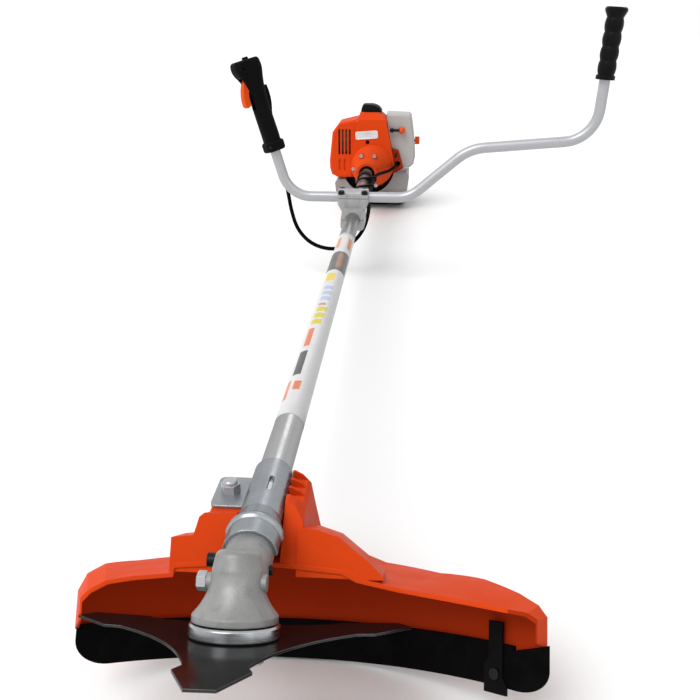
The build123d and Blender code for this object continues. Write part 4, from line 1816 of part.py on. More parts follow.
with BuildPart() as engine_screws:
    for x, z, length in HOUSING_BOSSES:
        post(across(HOUSING_REAR - length), [(x, z)], 2 * HOUSING_SCREW_R - 0.4, 3.5)
        post(across(HOUSING_REAR - length), [(x, z)], HOUSING_SCREW_R, -length - SHROUD_WALL)
    post(across(STARTER_FRONT + LUG_LENGTH), LUG_PLACES, 2 * LUG_SCREW_R, -4.0)
    post(across(STARTER_FRONT + LUG_LENGTH), LUG_PLACES, LUG_SCREW_R, LUG_LENGTH + 3.5)

# Set the machine down: the stand's middle on the ground is the origin
STAND_MIDDLE = (STAND_FRONT + STAND_REAR) / 2
REST = Location((0, 0, 0), (-degrees(REST_TILT), 0, 0)) * Location((0, -STAND_MIDDLE, -ground(STAND_MIDDLE)))
PIECES = {
    "gear_case": gear_case,
    "head_screws": head_screws,
    "head_bearings": head_bearings,
    "output_spindle": output_spindle,
    "driven_gear": driven_gear,
    "pinion_gear": pinion_gear,
    "blade_adapter": blade_adapter,
    "cutting_blade": cutting_blade,
    "lower_flange": lower_flange,
    "glide_cup": glide_cup,
    "blade_nut": blade_nut,
    "deflector_guard": deflector_guard,
    "guard_skirt": guard_skirt,
    "line_knife": line_knife,
    "guard_bracket": guard_bracket,
    "guard_fasteners": guard_fasteners,
    "shaft_tube": shaft_tube,
    "drive_shaft": drive_shaft,
    "shaft_bushes": shaft_bushes,
    "handlebar": handlebar,
    "clamp_base": clamp_base,
    "clamp_body": clamp_body,
    "clamp_cap": clamp_cap,
    "clamp_bolts": clamp_bolts,
    "rubber_grip": rubber_grip,
    "handle_inner": handle_inner,
    "handle_outer": handle_outer,
    "handle_fixings": handle_fixings,
    "throttle_trigger": throttle_trigger,
    "lockout_lever": lockout_lever,
    "stop_switch": stop_switch,
    "throttle_cable": throttle_cable,
    "cable_clips": cable_clips,
    "harness_hanger": harness_hanger,
    "clutch_housing": clutch_housing,
    "shaft_damper": shaft_damper,
    "clutch_drum": clutch_drum,
    "clutch_shoes": clutch_shoes,
    "crankshaft": crankshaft,
    "flywheel_fan": flywheel_fan,
    "engine_bearings": engine_bearings,
    "engine_shroud": engine_shroud,
    "engine_block": engine_block,
    "engine_screws": engine_screws,
    "spark_plug": spark_plug,
    "top_cover": top_cover,
    "muffler": muffler,
    "muffler_cover": muffler_cover,
    "carburettor": carburettor,
    "filter_cover": filter_cover,
    "filter_knob": filter_knob,
    "choke_lever": choke_lever,
    "air_guide": air_guide,
    "fuel_tank": fuel_tank,
    "fuel_cap": fuel_cap,
    "tank_cushion": tank_cushion,
    "tank_stand": tank_stand,
    "starter_housing": starter_housing,
    "starter_grip": starter_grip,
    "starter_rope": starter_rope,
}
for name, piece in PIECES.items():
    placed = piece.part.moved(REST)
    placed.label = name
    export_step(placed, f"parts/{name}.step")
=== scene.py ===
# Looks for a petrol brush cutter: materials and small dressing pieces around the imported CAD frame.
import json
import math

import bmesh
import bpy
from mathutils import Matrix, Vector


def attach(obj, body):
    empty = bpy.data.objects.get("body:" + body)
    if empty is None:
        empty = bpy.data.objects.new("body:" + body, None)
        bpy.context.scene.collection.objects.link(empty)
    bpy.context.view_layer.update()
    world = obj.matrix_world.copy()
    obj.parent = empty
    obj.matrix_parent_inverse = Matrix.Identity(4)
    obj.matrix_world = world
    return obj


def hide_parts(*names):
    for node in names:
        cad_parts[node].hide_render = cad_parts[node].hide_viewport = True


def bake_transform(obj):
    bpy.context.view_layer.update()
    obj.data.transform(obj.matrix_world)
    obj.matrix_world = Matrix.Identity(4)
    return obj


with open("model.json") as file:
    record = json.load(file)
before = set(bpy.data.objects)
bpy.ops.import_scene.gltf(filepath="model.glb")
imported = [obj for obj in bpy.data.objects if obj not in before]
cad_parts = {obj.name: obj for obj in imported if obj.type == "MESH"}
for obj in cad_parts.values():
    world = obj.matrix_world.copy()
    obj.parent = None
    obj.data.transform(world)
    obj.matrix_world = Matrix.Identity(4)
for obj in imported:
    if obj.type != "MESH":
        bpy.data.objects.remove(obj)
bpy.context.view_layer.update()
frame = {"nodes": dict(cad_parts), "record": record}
NODES = frame["nodes"]
SCENE = bpy.context.scene

# The shaft's own frame, in millimetres from the gear apex, set down on the ground as in the CAD
MM_PER_M = 1000.0
REST_TILT = math.radians(2.0091967)
STAND_Y = 1681.0
STAND_Z = -95.56166
ALONG = Vector((0.0, math.cos(REST_TILT), -math.sin(REST_TILT)))
UP = Vector((0.0, math.sin(REST_TILT), math.cos(REST_TILT)))
RIGHT = Vector((1.0, 0.0, 0.0))
HEAD_TILT = math.radians(30.0)
BLADE_AXIS = UP * math.cos(HEAD_TILT) + ALONG * math.sin(HEAD_TILT)
BLADE_BACK = ALONG * math.cos(HEAD_TILT) - UP * math.sin(HEAD_TILT)


def place(x, y, z):
    """A point of the shaft's frame, in millimetres, as a point of the row frame, in metres."""
    return (RIGHT * x + ALONG * (y - STAND_Y) + UP * (z - STAND_Z)) / MM_PER_M


APEX = place(0.0, 0.0, 0.0)


class Mat:
    """One procedural material: a Principled shader textured in the row frame, in metres."""

    # The colour sockets of a Mix node
    MIX_A, MIX_B, MIX_RESULT = 6, 7, 2
    # Cosine between the rounded and the plain normal, on a face and at an edge
    EDGE_TURN = (0.985, 0.86)

    def __init__(self, name, **sockets):
        self.data = bpy.data.materials.new(name)
        self.data.use_nodes = True
        self.tree = self.data.node_tree
        self.bsdf = self.tree.nodes["Principled BSDF"]
        self.point = self.add("ShaderNodeTexCoord").outputs["Object"]
        self.soft_normal = None
        self.set(**sockets)

    def add(self, kind, values=None, **props):
        """A new node, with its properties set and its inputs fed."""
        made = self.tree.nodes.new(kind)
        for key, value in props.items():
            setattr(made, key, value)
        for key, value in (values or {}).items():
            self.feed(made.inputs[key], value)
        return made

    def feed(self, socket, value):
        """Link an input to an output, or give it a plain value."""
        if isinstance(value, bpy.types.NodeSocket):
            self.tree.links.new(value, socket)
        else:
            socket.default_value = value

    def set(self, **sockets):
        """Feed the shader's own inputs."""
        for socket, value in sockets.items():
            self.feed(self.bsdf.inputs[socket.replace("_", " ")], value)

    def math(self, operation, a, b):
        return self.add("ShaderNodeMath", {0: a, 1: b}, operation=operation).outputs[0]

    def dot(self, a, b):
        return self.add("ShaderNodeVectorMath", {0: a, 1: b}, operation="DOT_PRODUCT").outputs["Value"]

    def span(self, value, between, to=(0.0, 1.0)):
        """A value held between two limits and spread over a range."""
        (low, high), (to_low, to_high) = between, to
        values = {"Value": value, "From Min": low, "From Max": high, "To Min": to_low, "To Max": to_high}
        return self.add("ShaderNodeMapRange", values).outputs[0]

    def noise(self, scale, detail, stretch=None):
        """Noise, drawn out along the axes whose stretch is below 1."""
        point = self.point
        if stretch:
            point = self.add("ShaderNodeMapping", {"Vector": point, "Scale": stretch}).outputs[0]
        values = {"Vector": point, "Scale": scale, "Detail": detail}
        return self.add("ShaderNodeTexNoise", values).outputs[0]

    def patches(self, scale, detail, between, to=(0.0, 1.0), stretch=None):
        """Noise held between two limits and spread over a range."""
        return self.span(self.noise(scale, detail, stretch), between, to)

    def cells(self, scale, output="Distance"):
        return self.add("ShaderNodeTexVoronoi", {"Vector": self.point, "Scale": scale}).outputs[output]

    def along(self, axis, origin):
        """Distance of a point from the origin along an axis, in metres."""
        values = {0: self.point, 1: tuple(origin)}
        away = self.add("ShaderNodeVectorMath", values, operation="SUBTRACT").outputs[0]
        return self.dot(away, tuple(axis))

    def ramp(self, value, stops):
        """Colours along a value, blended between the stops."""
        made = self.add("ShaderNodeValToRGB", {0: value})
        elements = made.color_ramp.elements
        while len(elements) < len(stops):
            elements.new(1.0)
        for element, (position, colour) in zip(elements, stops):
            element.position = position
            element.color = (*colour, 1.0)
        return made.outputs[0]

    def mix(self, share, a, b):
        """Two colours, or colour outputs, mixed by a share."""
        made = self.add("ShaderNodeMix", {0: share}, data_type="RGBA")
        for socket, value in ((self.MIX_A, a), (self.MIX_B, b)):
            plain = not isinstance(value, bpy.types.NodeSocket)
            self.feed(made.inputs[socket], (*value, 1.0) if plain else value)
        return made.outputs[self.MIX_RESULT]

    def tint(self, base, colour, mask, share):
        """The base turned towards a colour by a share of a mask."""
        return self.mix(self.math("MULTIPLY", mask, share), base, colour)

    def soften(self, radius):
        """Round the edges of the piece for the bump that follows."""
        self.soft_normal = self.add("ShaderNodeBevel", {"Radius": radius}, samples=4).outputs[0]

    def edges(self, radius, between=EDGE_TURN):
        """1 along the piece's edges and 0 on its faces. The edges are softened too."""
        self.soften(radius)
        plain = self.add("ShaderNodeNewGeometry").outputs["Normal"]
        return self.span(self.dot(self.soft_normal, plain), between)

    def finish(self, base, rough, height, depth):
        """The finished material, from its colour, its roughness and a bump of a depth in metres."""
        bump = self.add("ShaderNodeBump", {"Height": height, "Strength": 1.0, "Distance": depth})
        if self.soft_normal is not None:
            self.feed(bump.inputs["Normal"], self.soft_normal)
        self.set(Base_Color=base, Roughness=rough, Normal=bump.outputs[0])
        return self.data


BRIGHT_ORANGE = (0.78, 0.090, 0.012)
BLACK_OXIDE = (0.008, 0.008, 0.009)
PLATED = (0.44, 0.45, 0.465)
RUBBED = (0.45, 0.42, 0.40)


def scaled(colour, by):
    """A colour made darker or brighter."""
    return tuple(min(1.0, c * by) for c in colour)


def moulded(name, colour, pale, dark, rough, grain=1500.0, depth=0.00006, shade=None):
    """Injection-moulded plastic: a fine grain, faint flow marks, paler rubbed edges, a little dust, and
    painted shade where a mask is given.
    """
    m = Mat(name, Specular_IOR_Level=0.03)
    flow = m.patches(scale=9.0, detail=4.0, between=(0.35, 0.7))
    base = m.tint(colour, dark, flow, share=0.45)
    worn = m.patches(scale=120.0, detail=5.0, between=(0.35, 0.75), to=(0.15, 1.0))
    rub = m.math("MULTIPLY", m.edges(radius=0.0012), worn)
    base = m.tint(base, pale, rub, share=0.35)
    dust = m.patches(scale=420.0, detail=6.0, between=(0.66, 0.8))
    base = m.tint(base, pale, dust, share=0.06)
    # Painted shade: where a mask is given, that area is darkened to stand in for shadow
    if shade:
        base = m.mix(shade(m), base, scaled(dark, by=0.6))
    rough_map = m.patches(scale=34.0, detail=4.0, between=(0.3, 0.75), to=(rough - 0.07, rough + 0.09))
    return m.finish(base, rough_map, m.noise(grain, detail=2.0), depth)


def cast(name, light, dark, rough, depth=0.00016, edge=0.0015):
    """Sand-blasted die casting: coarse and fine grain, darker handling marks, brighter rubbed edges."""
    m = Mat(name, Metallic=0.4, Specular_IOR_Level=0.2)
    marks = m.patches(scale=48.0, detail=6.0, between=(0.4, 0.72))
    base = m.tint(light, dark, marks, share=0.55)
    grain = m.noise(scale=1100.0, detail=4.0)
    base = m.tint(base, dark, m.span(grain, between=(0.52, 0.7)), share=0.35)
    stains = m.patches(scale=130.0, detail=5.0, between=(0.5, 0.75), stretch=(1.0, 1.0, 0.25))
    base = m.tint(base, scaled(dark, by=0.6), stains, share=0.3)
    worn = m.patches(scale=200.0, detail=4.0, between=(0.35, 0.7))
    rub = m.math("MULTIPLY", m.edges(edge), worn)
    base = m.tint(base, scaled(light, by=1.35), rub, share=0.4)
    rough_map = m.patches(scale=90.0, detail=5.0, between=(0.3, 0.7), to=(rough - 0.08, rough + 0.1))
    return m.finish(base, rough_map, grain, depth)


def drawn(name, light, dark, rough, metallic, rim, stretch=None):
    """Drawn or brushed metal: fine streaks, a few scuffs, reflections dimmed towards the rim."""
    m = Mat(name, Metallic=metallic, Specular_Tint=(rim, rim, rim, 1.0))
    streaks = m.noise(scale=1600.0, detail=3.0, stretch=stretch)
    base = m.mix(m.span(streaks, between=(0.3, 0.75), to=(0.0, 0.2)), light, dark)
    scuffs = m.patches(scale=70.0, detail=7.0, between=(0.56, 0.72))
    base = m.tint(base, dark, scuffs, share=0.08)
    rough_map = m.patches(scale=26.0, detail=5.0, between=(0.3, 0.72), to=(rough - 0.06, rough + 0.1))
    return m.finish(base, rough_map, streaks, depth=0.000003)


def turned(name, light, dark, bright, rough):
    """Lathe-turned steel: fine rings square to the blade's axis, bright edges."""
    m = Mat(name, Metallic=1.0)
    values = {"W": m.along(BLADE_AXIS, APEX), "Scale": 2600.0, "Detail": 3.0}
    rings = m.add("ShaderNodeTexNoise", values, noise_dimensions="1D").outputs[0]
    clouds = m.patches(scale=80.0, detail=4.0, between=(0.35, 0.7))
    base = m.tint(light, dark, clouds, share=0.35)
    base = m.tint(base, bright, m.edges(radius=0.0009), share=0.4)
    rough_map = m.span(rings, between=(0.3, 0.7), to=(rough - 0.05, rough + 0.08))
    return m.finish(base, rough_map, rings, depth=0.00002)


def zinc(name, colour, spangled, hazy, bright):
    """Zinc-plated sheet: a faint bluish spangle, a little haze and brighter edges."""
    m = Mat(name, Metallic=0.75, Specular_Tint=(0.35, 0.36, 0.37, 1.0))
    spangle = m.span(m.cells(scale=160.0, output="Color"), between=(0.1, 0.9))
    base = m.tint(colour, spangled, spangle, share=0.3)
    haze = m.patches(scale=36.0, detail=6.0, between=(0.4, 0.72))
    base = m.tint(base, hazy, haze, share=0.45)
    base = m.tint(base, bright, m.edges(radius=0.0012), share=0.45)
    rough_map = m.patches(scale=60.0, detail=5.0, between=(0.3, 0.72), to=(0.2, 0.36))
    return m.finish(base, rough_map, m.noise(scale=620.0, detail=4.0), depth=0.00003)


def tempered(name, colour, marked, scratched, bright):
    """Dark tempered blade steel: fine grinding lines, a satin sheen, brighter ground edges."""
    m = Mat(name, Metallic=0.85, Specular_IOR_Level=0.1, Specular_Tint=(0.40, 0.40, 0.40, 1.0))
    marks = m.patches(scale=42.0, detail=6.0, between=(0.42, 0.75))
    base = m.tint(colour, marked, marks, share=0.4)
    lines = m.noise(scale=900.0, detail=4.0, stretch=(1.0, 0.05, 1.0))
    base = m.mix(m.span(lines, between=(0.45, 0.75), to=(0.0, 0.12)), base, scratched)
    worn = m.patches(scale=260.0, detail=4.0, between=(0.3, 0.6), to=(0.35, 1.0))
    ground = m.math("MULTIPLY", m.edges(radius=0.0008, between=(0.97, 0.8)), worn)
    base = m.tint(base, bright, ground, share=0.6)
    rough_map = m.patches(scale=55.0, detail=5.0, between=(0.3, 0.75), to=(0.13, 0.2))
    return m.finish(base, rough_map, lines, depth=0.000002)


def rubber(name, colour, dust, rough=0.72, gloss=0.04):
    """Moulded rubber: matt, finely pebbled, with pale dust in patches and along its edges."""
    m = Mat(name, Specular_IOR_Level=gloss)
    dusty = m.patches(scale=70.0, detail=6.0, between=(0.45, 0.8))
    base = m.tint(colour, dust, dusty, share=0.5)
    base = m.tint(base, dust, m.edges(radius=0.001), share=0.35)
    rough_map = m.patches(scale=50.0, detail=4.0, between=(0.3, 0.75), to=(rough - 0.08, rough + 0.1))
    return m.finish(base, rough_map, m.cells(scale=1300.0), depth=0.00008)


def milky(name, fuelled, empty, cloudy, level):
    """Blow-moulded tank: milky walls, a faint fuel tint up to a level, soft grain."""
    m = Mat(name, Subsurface_Weight=0.25, Subsurface_Scale=0.008, Specular_IOR_Level=0.4)
    height = m.along((0.0, 0.0, 1.0), origin=(0.0, 0.0, 0.0))
    base = m.mix(m.span(height, between=level), fuelled, empty)
    clouds = m.patches(scale=18.0, detail=5.0, between=(0.35, 0.7))
    base = m.tint(base, cloudy, clouds, share=0.3)
    m.soften(radius=0.002)
    rough_map = m.patches(scale=40.0, detail=4.0, between=(0.3, 0.7), to=(0.34, 0.5))
    return m.finish(base, rough_map, m.noise(scale=700.0, detail=3.0), depth=0.00008)


def scorched(name, stains):
    """Muffler sheet: dark steel in the colours that heat has left on it."""
    m = Mat(name, Metallic=0.9)
    base = m.ramp(m.noise(scale=24.0, detail=5.0), stains)
    m.soften(radius=0.001)
    rough_map = m.patches(scale=80.0, detail=5.0, between=(0.3, 0.7), to=(0.32, 0.52))
    return m.finish(base, rough_map, m.noise(scale=900.0, detail=3.0), depth=0.00005)


def woven(name, strand, tracer, soil):
    """Braided starter cord: pale strands with a coloured tracer wound round it, soiled in places."""
    m = Mat(name, Sheen_Weight=0.3)
    values = {"Vector": m.point, "Scale": 320.0, "Distortion": 1.0}
    weave = m.add("ShaderNodeTexWave", values, bands_direction="DIAGONAL").outputs[1]
    base = m.mix(m.span(weave, between=(0.7, 0.85)), strand, tracer)
    base = m.mix(m.patches(scale=900.0, detail=3.0, between=(0.4, 0.8), to=(0.0, 0.5)), base, soil)
    return m.finish(base, rough=0.8, height=weave, depth=0.0002)


def two_tone(name, colour, other, axis, reach, rough, metallic=0.0):
    """A piece in two colours, the other one beyond a reach along an axis, with rubbed edges."""
    m = Mat(name, Specular_IOR_Level=0.15)
    beyond = m.math("GREATER_THAN", m.along(axis, APEX), reach)
    clouds = m.patches(scale=260.0, detail=4.0, between=(0.35, 0.7))
    near, far = (m.tint(c, scaled(c, by=0.8), clouds, share=0.4) for c in (colour, other))
    base = m.mix(beyond, near, far)
    worn = m.patches(scale=300.0, detail=4.0, between=(0.35, 0.75))
    rub = m.math("MULTIPLY", m.edges(radius=0.0006), worn)
    base = m.tint(base, RUBBED, rub, share=0.2)
    if metallic:
        m.set(Metallic=m.math("MULTIPLY", beyond, metallic))
    rough_map = m.patches(scale=120.0, detail=4.0, between=(0.3, 0.7), to=(rough - 0.06, rough + 0.08))
    return m.finish(base, rough_map, m.noise(scale=1400.0, detail=2.0), depth=0.00003)


# The guard's wall is round about a centre beside and ahead of the gear apex, in metres; the painted shade
# inside the guard is laid out from it
GUARD_ASIDE = 0.025
GUARD_AHEAD = 0.045
GUARD_CENTRE = APEX + RIGHT * GUARD_ASIDE - BLADE_BACK * GUARD_AHEAD
GUARD_WALL_FROM = 0.19
WALL_TURNED_IN = (-0.05, -0.12)
DECK_TURNED_DOWN = (-0.3, -0.7)


def guard_painted_shade_mask(m):
    """Mask for painted shade, 1 on the inside of the guard: the underside of its deck and the inner face of
    its rounded wall.
    """
    normal = m.add("ShaderNodeNewGeometry").outputs["Normal"]
    across = m.along(RIGHT, GUARD_CENTRE)
    back = m.along(BLADE_BACK, GUARD_CENTRE)
    away = m.add("ShaderNodeCombineXYZ", {0: across, 1: back}).outputs[0]
    reach = m.add("ShaderNodeVectorMath", {0: away}, operation="LENGTH").outputs["Value"]
    outward_x = m.math("MULTIPLY", m.dot(normal, tuple(RIGHT)), across)
    outward_y = m.math("MULTIPLY", m.dot(normal, tuple(BLADE_BACK)), back)
    inward = m.span(m.math("ADD", outward_x, outward_y), between=WALL_TURNED_IN)
    wall = m.math("MULTIPLY", m.math("GREATER_THAN", reach, GUARD_WALL_FROM), inward)
    deck = m.span(m.dot(normal, tuple(BLADE_AXIS)), between=DECK_TURNED_DOWN)
    return m.math("MAXIMUM", wall, deck)


# Where two-colour pieces part, in metres from the gear apex
CHOKE_BALL = 0.0715  # to the right, where the lever's orange ball begins
DOME_SCREWS = 1.62  # behind, up to the plated screws on the clutch housing's dome
GREASE_PLUG = 0.018  # behind, up to the plated plug of the gear case
BRACKET_STUD = 0.05  # to the right, up to the plated stud of the guard's bracket

SHELL = dict(colour=(0.72, 0.062, 0.008), pale=(0.86, 0.15, 0.04), dark=(0.60, 0.046, 0.006), rough=0.48)
SCREWS = dict(colour=BLACK_OXIDE, other=PLATED, metallic=0.6)

# The maker of each material and what it is given
LOOKS = {
    "orange_shell": (moulded, SHELL),
    # The guard's orange with painted shade on its inside, darker than the outside
    "guard_shell": (moulded, dict(SHELL, shade=guard_painted_shade_mask)),
    "orange_cast": (
        moulded,
        dict(colour=(0.70, 0.070, 0.012), pale=(0.88, 0.24, 0.10), dark=(0.55, 0.048, 0.008), rough=0.40),
    ),
    "orange_small": (
        moulded,
        dict(colour=BRIGHT_ORANGE, pale=(0.90, 0.22, 0.07), dark=(0.66, 0.068, 0.009), rough=0.36),
    ),
    "red_guide": (
        moulded,
        dict(colour=(0.30, 0.026, 0.007), pale=(0.46, 0.07, 0.02), dark=(0.20, 0.014, 0.004), rough=0.44),
    ),
    "black_plastic": (
        moulded,
        dict(
            colour=(0.0055, 0.0055, 0.006),
            pale=(0.022, 0.022, 0.024),
            dark=(0.003, 0.003, 0.0034),
            rough=0.48,
            grain=900.0,
            depth=0.0001,
        ),
    ),
    "filter_white": (
        moulded,
        dict(colour=(0.47, 0.455, 0.44), pale=(0.62, 0.61, 0.60), dark=(0.38, 0.365, 0.35), rough=0.40),
    ),
    "nylon": (
        moulded,
        dict(colour=(0.62, 0.60, 0.54), pale=(0.75, 0.74, 0.70), dark=(0.52, 0.50, 0.45), rough=0.45),
    ),
    "cast_alloy": (cast, dict(light=(0.32, 0.318, 0.316), dark=(0.19, 0.187, 0.185), rough=0.46)),
    "clamp_alloy": (cast, dict(light=(0.42, 0.42, 0.42), dark=(0.26, 0.26, 0.26), rough=0.48)),
    "engine_alloy": (cast, dict(light=(0.36, 0.36, 0.36), dark=(0.18, 0.18, 0.18), rough=0.5)),
    "black_screw": (
        cast,
        dict(light=(0.012, 0.012, 0.013), dark=(0.006, 0.006, 0.0065), rough=0.38, depth=0.00004, edge=0.0005),
    ),
    "tube_alloy": (
        drawn,
        dict(
            light=(0.46, 0.46, 0.465),
            dark=(0.37, 0.37, 0.375),
            rough=0.26,
            metallic=0.85,
            rim=0.42,
            stretch=(1.0, 0.016, 1.0),
        ),
    ),
    "bar_alloy": (
        drawn,
        dict(light=(0.44, 0.445, 0.46), dark=(0.36, 0.365, 0.38), rough=0.32, metallic=0.4, rim=0.5),
    ),
    "steel": (
        turned,
        dict(light=(0.42, 0.43, 0.44), dark=(0.28, 0.29, 0.30), bright=(0.86, 0.87, 0.88), rough=0.22),
    ),
    "zinc_sheet": (
        zinc,
        dict(
            colour=(0.36, 0.375, 0.39),
            spangled=(0.27, 0.295, 0.32),
            hazy=(0.22, 0.24, 0.26),
            bright=(0.62, 0.64, 0.66),
        ),
    ),
    "blade_steel": (
        tempered,
        dict(
            colour=(0.048, 0.046, 0.046),
            marked=(0.038, 0.036, 0.036),
            scratched=(0.065, 0.065, 0.067),
            bright=(0.30, 0.30, 0.31),
        ),
    ),
    "black_rubber": (rubber, dict(colour=(0.0018, 0.0016, 0.0016), dust=(0.006, 0.0058, 0.006))),
    "grip_rubber": (
        rubber,
        dict(colour=(0.0026, 0.0026, 0.0028), dust=(0.007, 0.007, 0.0075), rough=0.45, gloss=0.1),
    ),
    "tank_white": (
        milky,
        dict(
            fuelled=(0.27, 0.255, 0.24),
            empty=(0.32, 0.315, 0.31),
            cloudy=(0.25, 0.246, 0.24),
            level=(0.048, 0.052),
        ),
    ),
    "muffler_steel": (
        scorched,
        dict(stains=((0.3, (0.12, 0.10, 0.085)), (0.5, (0.18, 0.12, 0.075)), (0.68, (0.08, 0.07, 0.075)))),
    ),
    "rope": (woven, dict(strand=(0.72, 0.70, 0.66), tracer=(0.55, 0.09, 0.03), soil=(0.40, 0.38, 0.35))),
    "choke_two_tone": (
        two_tone,
        dict(colour=BLACK_OXIDE, other=BRIGHT_ORANGE, axis=RIGHT, reach=CHOKE_BALL, rough=0.4),
    ),
    "engine_two_tone": (two_tone, dict(SCREWS, axis=-ALONG, reach=-DOME_SCREWS, rough=0.34)),
    "head_two_tone": (two_tone, dict(SCREWS, axis=-ALONG, reach=-GREASE_PLUG, rough=0.34)),
    "guard_two_tone": (two_tone, dict(SCREWS, axis=-RIGHT, reach=-BRACKET_STUD, rough=0.3)),
}
MATERIALS = {name: make(name, **values) for name, (make, values) in LOOKS.items()}

# Every CAD node takes the material of its record slot, apart from a few that have their own
SPECIAL = {
    "deflector_guard": "guard_shell",
    "starter_rope": "rope",
    "line_knife": "black_plastic",
    "rubber_grip": "grip_rubber",
    "stop_switch": "black_plastic",
    "choke_lever": "choke_two_tone",
    "engine_screws": "engine_two_tone",
    "head_screws": "head_two_tone",
    "guard_fasteners": "guard_two_tone",
}
for part in frame["record"]["subparts"]:
    slots = NODES[part["node"]].data.materials
    slots.clear()
    slots.append(MATERIALS[SPECIAL.get(part["node"], part["material_slot"])])


def mesh_object(name, bm, material):
    """A new object in the scene from a bmesh."""
    mesh = bpy.data.meshes.new(name)
    bm.to_mesh(mesh)
    bm.free()
    mesh.materials.append(material)
    made = bpy.data.objects.new(name, mesh)
    SCENE.collection.objects.link(made)
    return made


def piece(name, bm, material, body=None, smooth=True):
    """A new mesh piece riding on a body, or on none."""
    bmesh.ops.recalc_face_normals(bm, faces=bm.faces)
    made = mesh_object(name, bm, material)
    for face in made.data.polygons:
        face.use_smooth = smooth
    if body:
        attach(made, body)
    return made


def bridge(bm, first, second, closed=True):
    """Faces between two rows of vertices, or between two rings of them."""
    for k in range(len(first) if closed else len(first) - 1):
        after = (k + 1) % len(first)
        bm.faces.new((first[k], first[after], second[after], second[k]))


def stack(bm, rings):
    """Faces between rings that follow one another, with both ends closed."""
    for first, second in zip(rings, rings[1:]):
        bridge(bm, first, second)
    bm.faces.new(reversed(rings[0]))
    bm.faces.new(rings[-1])


# Throttle cable: the route of its CAD tube as the control points of one smooth curve
CABLE_R = 0.0035
CABLE_ROUTE = (
    (-137.9, 1081.0, 115.4),
    (-127.8, 1081.5, 81.0),
    (-119.8, 1082.0, 43.0),
    (-114.5, 1082.2, 6.0),
    (-104.0, 1083.0, -29.5),
    (-79.0, 1085.0, -57.0),
    (-42.0, 1088.0, -68.0),
    (-8.0, 1093.0, -60.0),
    (15.0, 1102.0, -36.0),
    (24.0, 1122.0, -8.0),
    (23.0, 1166.0, 9.0),
    (21.0, 1239.0, 14.0),
    (21.5, 1326.0, 12.0),
    (24.0, 1420.0, 12.0),
    (33.0, 1480.0, 6.0),
    (58.0, 1536.0, 4.0),
    (72.0, 1592.0, 15.0),
)
line = bpy.data.curves.new("cable_sheath", "CURVE")
line.dimensions = "3D"
line.bevel_depth = CABLE_R
line.bevel_resolution = 4
line.resolution_u = 10
line.use_fill_caps = True
spline = line.splines.new("NURBS")
spline.points.add(len(CABLE_ROUTE) - 1)
for point, spot in zip(spline.points, CABLE_ROUTE):
    point.co = (*place(*spot), 1.0)
spline.use_endpoint_u = True
spline.order_u = 3
line.materials.append(MATERIALS["black_rubber"])
cable = bpy.data.objects.new("cable_sheath", line)
SCENE.collection.objects.link(cable)
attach(cable, "frame")
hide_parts("throttle_cable")

# Starter rope: it leaves the eyelet with the grip; here it is one straight cord that rides on no body and
# stands in for the CAD rope
ROPE_X = -32.0
ROPE_Y = 1684.0
ROPE_R = 1.95
ROPE_FOOT = 40.0
ROPE_HEAD = 69.5
ROPE_SIDES = 14
ROPE_ROWS = 118
bm = bmesh.new()
rings = []
for row in range(ROPE_ROWS + 1):
    z = ROPE_FOOT + (ROPE_HEAD - ROPE_FOOT) * row / ROPE_ROWS
    ring = []
    for k in range(ROPE_SIDES):
        angle = 2 * math.pi * k / ROPE_SIDES
        spot = place(ROPE_X + ROPE_R * math.cos(angle), ROPE_Y + ROPE_R * math.sin(angle), z)
        ring.append(bm.verts.new(spot))
    rings.append(ring)
stack(bm, rings)
rope = piece("starter_line", bm, MATERIALS["rope"])
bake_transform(rope)
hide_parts("starter_rope")

# Bare plate on the front of the shroud
PLATE_X = -4.0
PLATE_Z = 78.0
PLATE_WIDTH = 52.0
PLATE_HEIGHT = 18.0
PLATE_CORNER = 4.0
PLATE_CORNER_STEPS = 6
PLATE_BACK = 1566.0
PLATE_THICKNESS = 0.9
PLATE_FRONT = PLATE_BACK - PLATE_THICKNESS
PLATE_TURN = math.radians(4.0)
# Inset from the outline and depth behind the front, from the back edge over the rim to the field
PLATE_PROFILE = ((0.0, PLATE_THICKNESS), (0.0, 0.25), (0.35, 0.0), (1.6, 0.0), (1.9, 0.18))


def rounded_outline(width, height, corner):
    """Points round a rounded rectangle about the origin."""
    outline = []
    for k, (side_x, side_y) in enumerate(((1, 1), (-1, 1), (-1, -1), (1, -1))):
        for n in range(PLATE_CORNER_STEPS + 1):
            angle = math.radians(90.0 * (k + n / PLATE_CORNER_STEPS))
            x = side_x * (width / 2 - corner) + corner * math.cos(angle)
            y = side_y * (height / 2 - corner) + corner * math.sin(angle)
            outline.append((x, y))
    return outline


def plate_foil(name):
    """Brushed foil with a little haze."""
    m = Mat(name, Metallic=0.35, Specular_IOR_Level=0.3)
    haze = m.patches(scale=60.0, detail=4.0, between=(0.35, 0.7))
    base = m.mix(haze, (0.80, 0.80, 0.81), (0.66, 0.66, 0.68))
    brushed = m.noise(scale=1400.0, detail=3.0, stretch=(0.03, 1.0, 1.0))
    base = m.mix(m.span(brushed, between=(0.4, 0.75), to=(0.0, 0.4)), base, (0.52, 0.52, 0.54))
    rough_map = m.span(haze, between=(0.0, 1.0), to=(0.3, 0.42))
    return m.finish(base, rough_map, brushed, depth=0.00001)


bm = bmesh.new()
rings = []
for inset, depth in PLATE_PROFILE:
    ring = []
    for x, z in rounded_outline(PLATE_WIDTH - 2 * inset, PLATE_HEIGHT - 2 * inset, PLATE_CORNER - inset):
        turned_x = x * math.cos(PLATE_TURN) - z * math.sin(PLATE_TURN) + PLATE_X
        turned_z = x * math.sin(PLATE_TURN) + z * math.cos(PLATE_TURN) + PLATE_Z
        ring.append(bm.verts.new(place(turned_x, PLATE_FRONT + depth, turned_z)))
    rings.append(ring)
stack(bm, rings)
piece("shroud_plate", bm, plate_foil("plate_foil"), "frame", smooth=False)

